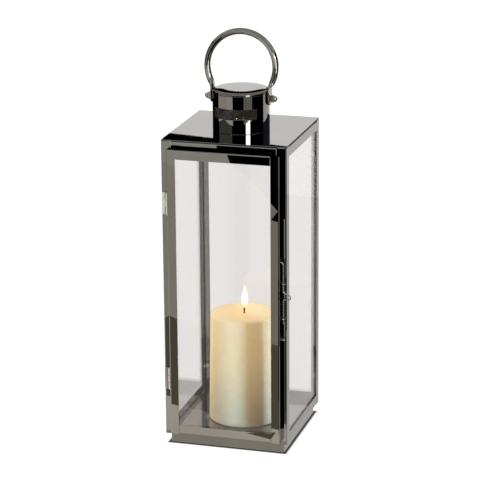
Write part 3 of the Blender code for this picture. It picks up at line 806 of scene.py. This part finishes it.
# %% Fixings
NUT_SIDES = 36
HEX_HALF = math.pi / 6      # half of the angle that one flat of a hexagon takes
NUT_CHAMFER = 0.5 * MM
NUT_DEPTH = 3.4 * MM
DOME = 3.0 * MM
SCREW_SHANK = 1.9 * MM
SCREW_HEAD = 2.2 * MM


def reach_of(name):
    """How far a fixing starts and ends from the lantern's middle, and half of its height."""
    low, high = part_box(name)
    near, far = sorted((abs(low.x), abs(high.x)))
    return near, far, (high.z - low.z) / 2


def make_domed_nut(side, out):
    near, far, hexagon = reach_of(f"domed_nut_{side}")
    angles = [2 * math.pi * k / NUT_SIDES for k in range(NUT_SIDES)]
    hex_top = near + NUT_DEPTH
    rings = []
    for along, size, round_off in ((near, hexagon - NUT_CHAMFER, 0.5), (near + NUT_CHAMFER, hexagon, 0.0),
                                   (hex_top - NUT_CHAMFER, hexagon, 0.0),
                                   (hex_top, hexagon - NUT_CHAMFER, 0.5)):
        ring = []
        for a in angles:
            to_flat = math.cos(HEX_HALF) / math.cos((a % (2 * HEX_HALF)) - HEX_HALF)
            reach = size * (to_flat + (math.cos(HEX_HALF) - to_flat) * round_off)
            ring.append(PIVOT + out * along + (Z * math.cos(a) + Y * math.sin(a)) * reach)
        rings.append(ring)
    steps = 8
    for i in range(steps + 1):
        a = math.pi / 2 * i / (steps + 0.3)
        height = max(far - DOME + DOME * math.sin(a), hex_top + 0.02 * MM * (i + 1))
        centre, size = PIVOT + out * height, DOME * math.cos(a)
        rings.append([centre + (Z * math.cos(b) + Y * math.sin(b)) * size for b in angles])
    ring_piece(f"acorn_nut_{side}", rings, bright_nickel, "case", (f"domed_nut_{side}",))


def make_screw(side, out):
    near, far, head = reach_of(f"handle_screw_{side}")
    face = near + SCREW_HEAD
    profile = [(0.5 * MM, near + 0.7 * MM), (0.9 * MM, near), (head - 1.1 * MM, near + 0.05 * MM),
               (head - 0.4 * MM, near + 0.4 * MM), (head, near + 1.0 * MM), (head, face),
               (SCREW_SHANK, face), (SCREW_SHANK, far - 0.3 * MM), (SCREW_SHANK - 0.3 * MM, far)]
    rings = turned_rings(profile, PIVOT, out, 40)
    ring_piece(f"pan_screw_{side}", rings, bright_nickel, "case", (f"handle_screw_{side}",))


for fixing_side, fixing_way in (("left", -X), ("right", X)):
    make_domed_nut(fixing_side, fixing_way)
    make_screw(fixing_side, fixing_way)
print("made 2 screws and 2 nuts")

# %% [markdown]
# ## Hinges
# Small butt hinges: a strip of zinc-plated steel whose edge is rolled round a pin. The leaf on the
# case carries the top and bottom knuckles and the leaf on the door the middle one. Each knuckle
# ends in a hair-fine chamfer, and the pin's ends are domed over.

# %% Hinges
HINGE = Vector(frame["joints"][0]["pos_m"])
KNUCKLE = 1.6 * MM
PIN_BORE = 0.9 * MM
LEAF = 0.8 * MM
GAP = 0.3 * MM
TONGUE_SOFT = 0.1 * MM
RIVET_HEAD = 0.8 * MM
RIVET_SOFT, RIVET_GAP = 0.25 * MM, 0.05 * MM


def knuckle_rings(low, high):
    """A short tube about the hinge line, closed by small chamfers and hollow for the pin."""
    soft = 0.2 * MM
    profile = [(PIN_BORE, low), (KNUCKLE - soft, low), (KNUCKLE, low + soft), (KNUCKLE, high - soft),
               (KNUCKLE - soft, high), (PIN_BORE, high)]
    return list(zip(*turned_rings(profile, (HINGE.x, HINGE.y, 0), Z, 28)))


def slab(bm, low, high, soft=0.15 * MM):
    """A plate between two corners, with soft edges."""
    size = high - low
    made = bmesh.ops.create_cube(bm, size=1, matrix=Matrix.Translation((low + high) / 2)
                                 @ Matrix.Diagonal((*size, 1)))
    edges = list({edge for vert in made["verts"] for edge in vert.link_edges})
    bmesh.ops.bevel(bm, geom=edges, offset=soft, segments=2, affect="EDGES")


def make_hinge(level):
    case_low, case_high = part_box(f"hinge_leaf_case_{level}")
    door_low, door_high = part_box(f"hinge_leaf_door_{level}")
    bottom, top = case_low.z, case_high.z
    third = (top - bottom) / 3
    clear = KNUCKLE + GAP

    bm = bmesh.new()
    back = case_high.y
    slab(bm, Vector((case_low.x, back - LEAF, bottom)), Vector((HINGE.x - clear, back, top)))
    for low, high in ((bottom, bottom + third - GAP / 2), (top - third + GAP / 2, top)):
        slab(bm, Vector((HINGE.x - clear - LEAF, back - LEAF, low)),
             Vector((HINGE.x - PIN_BORE, back, high)), TONGUE_SOFT)
        bridge(bm, knuckle_rings(low, high), cyclic=True)
    node = f"hinge_leaf_case_{level}"
    add_piece(f"hinge_case_{level}", bm, (pale_zinc,), "case", (node,))

    bm = bmesh.new()
    side = door_high.x
    slab(bm, Vector((side - LEAF, door_low.y, bottom)), Vector((side, HINGE.y - clear, top)))
    low, high = bottom + third + GAP / 2, top - third - GAP / 2
    slab(bm, Vector((side - LEAF, HINGE.y - clear - LEAF, low)),
         Vector((side, HINGE.y - PIN_BORE, high)), TONGUE_SOFT)
    bridge(bm, knuckle_rings(low, high), cyclic=True)
    node = f"hinge_leaf_door_{level}"
    add_piece(f"hinge_door_{level}", bm, (pale_zinc,), "door", (node,))

    node = f"hinge_pin_{level}"
    pin_low, pin_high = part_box(node)
    pin = (pin_high.x - pin_low.x) / 2
    profile = [(0.3 * RIVET_HEAD, pin_low.z), (RIVET_HEAD, pin_low.z + RIVET_SOFT),
               (RIVET_HEAD, bottom - RIVET_GAP), (pin, bottom - RIVET_GAP), (pin, top + RIVET_GAP),
               (RIVET_HEAD, top + RIVET_GAP), (RIVET_HEAD, pin_high.z - RIVET_SOFT),
               (0.3 * RIVET_HEAD, pin_high.z)]
    rings = turned_rings(profile, (HINGE.x, HINGE.y, 0), Z, 20)
    ring_piece(f"hinge_rivet_{level}", rings, pale_zinc, "case", (node,))


for hinge_level in ("lower", "upper"):
    make_hinge(hinge_level)
print("hinge line mm", [round(v / MM, 1) for v in HINGE])

# %% [markdown]
# ## Latch
# A length of wire slides up and down in two staples on the post. Its bent top stops it from
# falling through, and the loop in the middle is for the thumb. Pushed down, its end drops into
# the staple on the door's side.

# %% Latch
BOLT = Vector((63.2, -69.0, 0)) * MM        # the bolt's straight line
BOLT_WIRE = 0.7 * MM
BOLT_BEND = 2.4 * MM
STAPLE_BEND = 1.45 * MM
STAPLE_WIRE = 0.45 * MM
POST_FACE = -66.3 * MM                      # how far back the case's staples reach
DOOR_FACE = 61.2 * MM                       # how far left the door's staple reaches
bolt_low, bolt_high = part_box("latch_bolt")


def make_bolt():
    tip_x = bolt_high.x - BOLT_WIRE
    bend, loop_top, loop_bottom = 207.3 * MM, 176.8 * MM, 170.3 * MM
    corners = [(BOLT.x - 0.6 * MM, BOLT.y - 3 * MM, 210.8 * MM), (BOLT.x, BOLT.y, bend),
               (BOLT.x, BOLT.y, loop_top),
               (tip_x, BOLT.y - 1.2 * MM, loop_top - 1.4 * MM),
               (tip_x, BOLT.y - 1.2 * MM, loop_bottom + 0.6 * MM),
               (BOLT.x, BOLT.y, loop_bottom), (BOLT.x, BOLT.y, bolt_low.z + BOLT_WIRE)]
    rings = wire_rings(round_corners(corners, BOLT_BEND), BOLT_WIRE)
    ring_piece("bolt_wire", rings, bright_nickel, "latch", ("latch_bolt",))


def make_staple(piece_name, node, body, bend_way, leg_length):
    low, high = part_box(node)
    centre = Vector((BOLT.x, BOLT.y, (low.z + high.z) / 2))
    across = Z.cross(bend_way)
    steps = 16
    path = [centre + across * STAPLE_BEND - bend_way * leg_length]
    for i in range(steps + 1):
        a = math.pi * i / steps
        path.append(centre + across * STAPLE_BEND * math.cos(a) + bend_way * STAPLE_BEND * math.sin(a))
    path.append(centre - across * STAPLE_BEND - bend_way * leg_length)
    ring_piece(piece_name, tube_rings(path, STAPLE_WIRE, 14), bright_nickel, body, (node,))


make_bolt()
make_staple("staple_lower", "latch_guide_lower", "case", -Y, POST_FACE - BOLT.y)
make_staple("staple_upper", "latch_guide_upper", "case", -Y, POST_FACE - BOLT.y)
make_staple("staple_door", "latch_eye", "door", X, BOLT.x - DOOR_FACE)
print("latch bolt from", round(bolt_low.z / MM, 1), "to", round(bolt_high.z / MM, 1), "mm")

# %% [markdown]
# ## Candle
# A moulded pillar, slightly tapered so that it leaves its mould. After some burning its rim has
# softened and the top sinks towards the wick. We turn one fine outline about the candle's axis.

# %% Candle
wax_low, wax_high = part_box("candle_wax")
CANDLE_X = (wax_low.x + wax_high.x) / 2
CANDLE_FOOT = (wax_high.x - wax_low.x) / 2
CANDLE_SHOULDER = 35.7 * MM
CANDLE_SIDES = 128
FOOT_ROUND, RIM_ROUND = 1.6 * MM, 2.6 * MM
WAX_DISH = 0.8 * MM
WICK_RADIUS = 0.9 * MM
FLAME_LOW, FLAME_HEIGHT, FLAME_RADIUS = 134 * MM, 27 * MM, 3.6 * MM
FLAME_SHIFT = 0.6 * MM      # the wick's bend takes the flame a little to the right


def make_candle():
    low, high = wax_low.z + FOOT_ROUND, wax_high.z - RIM_ROUND
    profile = [(WICK_RADIUS, wax_low.z), (CANDLE_FOOT * 0.5, wax_low.z)]
    profile += arc((CANDLE_FOOT - FOOT_ROUND, low), FOOT_ROUND, -90, 0, 6)
    rows = 24
    for i in range(1, rows):
        t = i / rows
        profile.append((CANDLE_FOOT + (CANDLE_SHOULDER - CANDLE_FOOT) * t, low + (high - low) * t))
    profile += arc((CANDLE_SHOULDER - RIM_ROUND, high), RIM_ROUND, 0, 90, 8)
    edge = CANDLE_SHOULDER - 2.2 * RIM_ROUND
    steps = 12
    for i in range(steps + 1):
        t = i / steps
        profile.append((edge + (WICK_RADIUS - edge) * t, wax_high.z - WAX_DISH * (1 - (1 - t) ** 2)))
    rings = turned_rings(profile, (CANDLE_X, 0, 0), Z, CANDLE_SIDES)
    ring_piece("pillar_candle", rings, wax, "candle", ("candle_wax",), crease=60)


def make_wick_piece():
    low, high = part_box("candle_wick")
    leave = Vector((CANDLE_X, 0, wax_high.z - WAX_DISH + MM))
    tip = Vector((high.x - WICK_RADIUS, low.y + WICK_RADIUS, high.z - 0.2 * MM))
    path = [Vector((CANDLE_X, 0, low.z)), leave]
    steps = 14
    for i in range(1, steps + 1):
        t = i / steps
        path.append(leave.lerp(Vector((leave.x, leave.y, tip.z)), t).lerp(tip, t * t))
    rings = wire_rings(path, WICK_RADIUS)
    ring_piece("plaited_wick", rings, charred_cotton, "candle", ("candle_wick",))


def make_flame_piece():
    steps = 20
    profile = []
    for i in range(steps + 1):
        t = i / steps
        swell = math.sin(math.pi * t ** 0.72) ** 0.9 * (1 - 0.35 * t)
        profile.append((max(FLAME_RADIUS * swell, 0.12 * MM), FLAME_LOW + FLAME_HEIGHT * t))
    rings = turned_rings(profile, (CANDLE_X + FLAME_SHIFT, 0, 0), Z, 32)
    flame = ring_piece("flame", rings, flame_glow, "candle", crease=80)
    flame.visible_shadow = False


make_candle()
make_wick_piece()
make_flame_piece()
print("candle mm across", round(2 * CANDLE_FOOT / MM, 1), "tall", round((wax_high.z - wax_low.z) / MM, 1))

# %% [markdown]
# ## Studio
# Polished metal has hardly any colour of its own: it shows the room. So the studio is built like a
# photographer's: a white floor, a tall soft light at the front right, a white wall behind, and dark
# space round the camera. Cards that only mirror-like surfaces can see put each tone where the
# metal looks for it, and they never get in a camera's way.


# %% Stage helpers
def glow_material(name, tone, strength=1.0):
    """A plain self-lit card."""
    made, tree, output = new_material(name)
    glow = add_node(tree, "ShaderNodeEmission", {"Color": linear(tone), "Strength": strength})
    tree.links.new(glow.outputs["Emission"], output.inputs["Surface"])
    return made


def add_card(name, corners_mm, finish):
    """A flat card, seen in reflections only."""
    mesh = bpy.data.meshes.new(name)
    mesh.from_pydata([Vector(c) * MM for c in corners_mm], [], [range(len(corners_mm))])
    mesh.materials.append(finish)
    card = bpy.data.objects.new(name, mesh)
    bpy.context.collection.objects.link(card)
    card.visible_camera = False
    card.visible_diffuse = False
    card.visible_transmission = False
    card.visible_shadow = False
    card.visible_volume_scatter = False


def add_floor_card(name, height_mm, points_mm, finish):
    """A card that lies just above the floor; where two overlap, the higher one shows."""
    add_card(name, [(x, y, height_mm) for x, y in points_mm], finish)


def on_circle(radius, degrees):
    """The x and y of a point at a distance and a direction from the lantern's middle."""
    return radius * math.cos(math.radians(degrees)), radius * math.sin(math.radians(degrees))


def floor_ring(start, end, near, far, steps=6):
    """Corners of a part of a ring, between two directions in degrees."""
    inner = [on_circle(near, start + (end - start) * i / steps) for i in range(steps + 1)]
    outer = [on_circle(far, end + (start - end) * i / steps) for i in range(steps + 1)]
    return inner + outer


def add_wall(name, start, end, low, high, finish, distance=2600, steps=8):
    """A curved card round the lantern, between two directions in degrees."""
    feet = [on_circle(distance, start + (end - start) * i / steps) for i in range(steps + 1)]
    for i, (a, b) in enumerate(zip(feet, feet[1:])):
        add_card(f"{name}_{i}", [(*a, low), (*b, low), (*b, high), (*a, high)], finish)


print("stage helpers ready")

# %% [markdown]
# ## Floor
# A lantern like this stands on a white floor. The floor is a self-lit white sheet, so that it stays
# even, and its material paints a thin contact shadow round the plinth. Seen through the panes, the
# floor is darker near the lantern, a painted shade, and paler further back.
# The soft light that matt wax gathers from it has a level and a warm tint of its own.

# %% Floor
FLOOR_HALF = 6.0                            # metres
# Seen through the panes, the floor is darker up to this line: painted shade of the lantern.
PANE_SHADE_EDGE = (126 * MM, 129 * MM)                # behind this the panes show a paler floor
PANE_SHADE_LEVELS = (0.72, 0.95)
CONTACT = (63.0 * MM, 66.2 * MM)            # the shadow's inner and outer edge
CONTACT_LEVELS = (0.05, 1.1)
GATHERED_FLOOR = 0.04                       # level and tint that the wax gathers from the floor
GATHERED_TINT = "#FFB050"


def made_soft_light(tree):
    """One where a path has already left a matt surface, so where light is being gathered for it."""
    depth = add_node(tree, "ShaderNodeLightPath").outputs["Diffuse Depth"]
    return add_node(tree, "ShaderNodeMath", {1: 1.0}, {0: depth}, operation="MINIMUM").outputs["Value"]


def make_floor_material():
    made, tree, output = new_material("matte_white_floor")
    place = object_place(tree)
    depth = add_node(tree, "ShaderNodeSeparateXYZ", links={"Vector": place}).outputs["Y"]
    # Painted shade: for rays through the panes the floor near the lantern is darker.
    pane_shade = remap(tree, depth, *PANE_SHADE_LEVELS, *PANE_SHADE_EDGE)
    size = add_node(tree, "ShaderNodeVectorMath", links={0: place}, operation="ABSOLUTE")
    sides = add_node(tree, "ShaderNodeSeparateXYZ", links={"Vector": size.outputs["Vector"]})
    out = add_node(tree, "ShaderNodeMath", links={0: sides.outputs["X"], 1: sides.outputs["Y"]},
                   operation="MAXIMUM").outputs["Value"]
    contact = remap(tree, out, *CONTACT_LEVELS, *CONTACT, interpolation_type="SMOOTHSTEP")
    rays = add_node(tree, "ShaderNodeLightPath")
    seen = add_node(tree, "ShaderNodeMix",
                    links={"Factor": rays.outputs["Is Camera Ray"], "A": pane_shade, "B": contact})
    gathered = made_soft_light(tree)
    level = add_node(tree, "ShaderNodeMix", {"B": GATHERED_FLOOR},
                     {"Factor": gathered, "A": seen.outputs["Result"]})
    tint = add_node(tree, "ShaderNodeMix", {"A": linear("#FFFFFF"), "B": linear(GATHERED_TINT)},
                    {"Factor": gathered}, data_type="RGBA")
    finish_with(tree, output,
                {"Base Color": linear("#000000"), "Roughness": 0.9, "Specular IOR Level": 0.0},
                {"Emission Color": tint.outputs["Result"], "Emission Strength": level.outputs["Result"]})
    return made


floor_mesh = bpy.data.meshes.new("floor")
floor_corners = [(-1, -1), (1, -1), (1, 1), (-1, 1)]
floor_mesh.from_pydata([(x * FLOOR_HALF, y * FLOOR_HALF, 0) for x, y in floor_corners], [], [range(4)])
floor_mesh.materials.append(make_floor_material())
floor = bpy.data.objects.new("floor", floor_mesh)
bpy.context.collection.objects.link(floor)
floor.visible_glossy = False
floor.visible_diffuse = False
print("floor ready")

# %% [markdown]
# ## World
# Everything beyond the floor and the cards is one self-lit surround. Each kind of light ray finds its
# own level in it: the camera, the panes, the mirrors and the soft light that matt wax gathers. That
# way the background can be pure white without washing out the wax, and mirrors find soft bands.

# %% World
MIRROR_ENDS = ((0.36, 0.0), (1.0, 0.42))    # how high a mirrored ray goes, and the grey it finds
MIRROR_STOPS = ((0.4, 0.5), (0.52, 0.62), (0.6, 0.3), (0.68, 0.66), (0.84, 0.34))


def make_world():
    """Nested backgrounds: each one takes over for its own kind of ray."""
    world = bpy.data.worlds.new("studio")
    bpy.context.scene.world = world
    world.use_nodes = True
    tree = world.node_tree
    tree.nodes.clear()
    rays = add_node(tree, "ShaderNodeLightPath").outputs
    direction = add_node(tree, "ShaderNodeTexCoord").outputs["Generated"]
    upward = add_node(tree, "ShaderNodeSeparateXYZ", links={"Vector": direction}).outputs["Z"]
    mirrored = add_node(tree, "ShaderNodeValToRGB", links={"Fac": upward})
    (low_at, low), (high_at, high) = MIRROR_ENDS
    two_stops(mirrored, grey(low), grey(high), low_at, high_at)
    for stop, tone in MIRROR_STOPS:
        mirrored.color_ramp.elements.new(stop).color = grey(tone)
    shown = None
    for factor, colour, strength in ((None, "#FFFBF9", 0.97), (rays["Is Glossy Ray"], None, 1.0),
                                     (rays["Is Transmission Ray"], "#FFFBF9", 0.85),
                                     (rays["Is Camera Ray"], "#FFFFFF", 1.1),
                                     (made_soft_light(tree), "#FFBC6C", 0.26)):
        layer = add_node(tree, "ShaderNodeBackground", {"Strength": strength})
        if colour:
            layer.inputs["Color"].default_value = linear(colour)
        else:
            tree.links.new(mirrored.outputs["Color"], layer.inputs["Color"])
        if shown:
            mix = add_node(tree, "ShaderNodeMixShader", links={"Fac": factor})
            tree.links.new(shown.outputs[0], mix.inputs[1])
            tree.links.new(layer.outputs[0], mix.inputs[2])
            layer = mix
        shown = layer
    add_node(tree, "ShaderNodeOutputWorld", links={"Surface": shown.outputs[0]})


make_world()
print("world ready")

# %% [markdown]
# ## Cards
# A photographer places white and black boards round a mirror-like thing until its reflections
# describe its shape. Our cards do the same, and only mirror rays see them. Those on the floor lie a
# fraction of a millimetre apart in height, so their order is never in doubt: their outlines put the
# steps of light and dark along the door's bars and the plinth. The walls give the posts, the roof
# and the collar their tones.

# %% Cards
WHITE_FLOOR = glow_material("card_white_floor", "#F4F3F0")
BRIGHT_FLOOR = glow_material("card_bright_floor", "#FFFAF4", 1.08)
SIDE_FLOOR = glow_material("card_side_floor", "#E0DFDE")
FAR_FLOOR = glow_material("card_far_floor", "#E0E0DC")
WARM_FLOOR = glow_material("card_warm_floor", "#D6D3CC")
SHADED_FLOOR = glow_material("card_shaded_floor", "#BEBAB2")
GREY_FLOOR = glow_material("card_grey_floor", "#9A9995")
DIM_FLOOR = glow_material("card_dim_floor", "#7F7A6C")
WALL = glow_material("card_wall", "#FFFFFF", 1.12)
KEY_FACE = glow_material("card_key_face", "#FFFFFF", 3.2)
KEY_CORE = glow_material("card_key_core", "#FFFFFF", 12)
WALL_LEFT = glow_material("card_wall_left", "#898883")
WALL_RIGHT = glow_material("card_wall_right", "#3F4552")

FLOOR_FAR = 4000
# Two outlines that several cards share: the far edge of the shade on the left, and its near edge.
FAR_EDGE = [(-1919, -4000), (-381, -1286), (-372, -1260), (-350, -1258), (-330, -1208)]
NEAR_EDGE = [(-186, -964), (-184, -920), (-150, -900), (60, -560)]

add_floor_card("front_near_floor", 0.5, [(-700, -240), (-125, -205), (-108, -198), (-90, -192),
                                         (35, -151), (90, -130), (90, -60), (-700, -60)], BRIGHT_FLOOR)
add_floor_card("near_floor", 0.5, [(90, -130), (700, 60), (700, 900), (-700, 900), (-700, -60),
                                   (90, -60)], SIDE_FLOOR)
# A darker card in front of the plinth: painted contact shadow on the floor, for the plinth's mirror
# image.
add_floor_card("plinth_shade_floor", 0.6, [(-90, -100), (90, -100), (90, -60), (-90, -60)], WARM_FLOOR)
add_floor_card("near_wedge", 0.6, [(9, -132), (32, -140), (38.5, -142), (38.5, -121)], DIM_FLOOR)
add_floor_card("back_right_floor", 0.3, floor_ring(26.4, 106.4, 0, FLOOR_FAR), WHITE_FLOOR)
add_floor_card("front_left_floor", 0.1, [(-3500, -4000), *FAR_EDGE, (-250, -1080), *NEAR_EDGE,
                                         (60, -100), (-3500, -100)], WARM_FLOOR)
add_floor_card("far_left_floor", 0.15, [(-3500, -4000), *FAR_EDGE, (-600, -1100), (-3500, -1100)],
               FAR_FLOOR)
add_floor_card("shaded_floor", 0.15, [(-290, -1120), *NEAR_EDGE, (60, -360), (-100, -413),
                                      (-150, -577)], SHADED_FLOOR)
add_floor_card("dim_floor", 0.2, [(-215, -430), (-193.8, -446), (-193, -463), (-191.5, -484.5),
                                  (-179.5, -474), (-37.5, -413), (80, -370), (80, -90), (-150, -150)],
               DIM_FLOOR)
add_floor_card("front_right_floor", 0.2, floor_ring(-63.6, -29.6, 700, FLOOR_FAR), GREY_FLOOR)

BACK_LEFT, BACK_RIGHT, BACK_Y = -1400, -260, 1392
add_card("back_wall", [(BACK_LEFT, BACK_Y, 0), (BACK_RIGHT, BACK_Y, 0), (BACK_RIGHT, BACK_Y, 718.4),
                       (BACK_LEFT, BACK_Y, 663.2)], WALL)
add_wall("front_wall", -150, -20, 60, 1120, WHITE_FLOOR, distance=3600)
add_wall("left_wall", -173, -111, 0, 1250, WALL_LEFT)
add_wall("right_wall", 26, 98, 0, 1250, WALL_RIGHT)
print("cards ready")

# %% [markdown]
# ## Lights
# The key light is a tall soft box at the front right, and it lets the corner post throw its soft
# shadow down the candle. A broad fill from the left, of about the same power, and a weak light
# overhead soften the rest, and the flame has a tiny warm light of its own. Mirrors and panes see
# none of the lamps: in their place the collar mirrors a card with a brighter band, which draws its
# white line.


# %% Lights
def hide_lamp(light):
    """Keep a lamp itself out of mirrors and panes."""
    light.visible_glossy = False
    light.visible_transmission = False


def add_area(name, place_mm, target_mm, size_mm, watts, tone):
    """A rectangular lamp that faces its target."""
    data = bpy.data.lights.new(name, "AREA")
    data.shape = "RECTANGLE"
    data.size, data.size_y = size_mm[0] * MM, size_mm[1] * MM
    data.energy = watts
    data.color = linear(tone)[:3]
    light = bpy.data.objects.new(name, data)
    bpy.context.collection.objects.link(light)
    place, target = Vector(place_mm) * MM, Vector(target_mm) * MM
    turn = (target - place).to_track_quat("-Z", "Y").to_matrix().to_4x4()
    light.matrix_world = Matrix.Translation(place) @ turn
    light.visible_camera = False
    hide_lamp(light)


KEY_DISTANCE, KEY_HEIGHT = 1500, 465
LAMP_DIRECTION = -43.5      # degrees; it sets where the post's shadow falls
CARD_DIRECTION = -46.8      # degrees; it sets where the collar's white line stands
CARD_HALF_WIDTH = 220
CARD_BANDS = (("key_face_low", 30, 630, KEY_FACE), ("key_core", 630, 740, KEY_CORE),
              ("key_face_high", 740, 900, KEY_FACE))

add_area("key_light", (*on_circle(KEY_DISTANCE, LAMP_DIRECTION), KEY_HEIGHT), (0, 0, KEY_HEIGHT),
         (330, 870), 36, "#AFD4FF")
foot = Vector((*on_circle(KEY_DISTANCE, CARD_DIRECTION), 0))
half = Vector((*on_circle(CARD_HALF_WIDTH, CARD_DIRECTION + 90), 0))
for card_name, low, high, finish in CARD_BANDS:
    add_card(card_name, [foot - half + Z * low, foot + half + Z * low, foot + half + Z * high,
                         foot - half + Z * high], finish)
add_area("left_fill", (-1700, -900, 900), (0, 0, 150), (1400, 1400), 37, "#F6F6F0")
add_area("overhead", (0, 200, 2000), (0, 0, 200), (1800, 1800), 8, "#FFD8A4")

FLAME_WATTS = 0.003
flame_light_data = bpy.data.lights.new("flame_light", "POINT")
flame_light_data.energy = FLAME_WATTS
flame_light_data.color = linear("#FFC47C")[:3]
flame_light_data.shadow_soft_size = 3 * MM
flame_light = bpy.data.objects.new("flame_light", flame_light_data)
bpy.context.collection.objects.link(flame_light)
flame_light.location = (CANDLE_X, 0, FLAME_LOW + 0.5 * FLAME_HEIGHT)
hide_lamp(flame_light)
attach(flame_light, "candle")
print("lights ready")
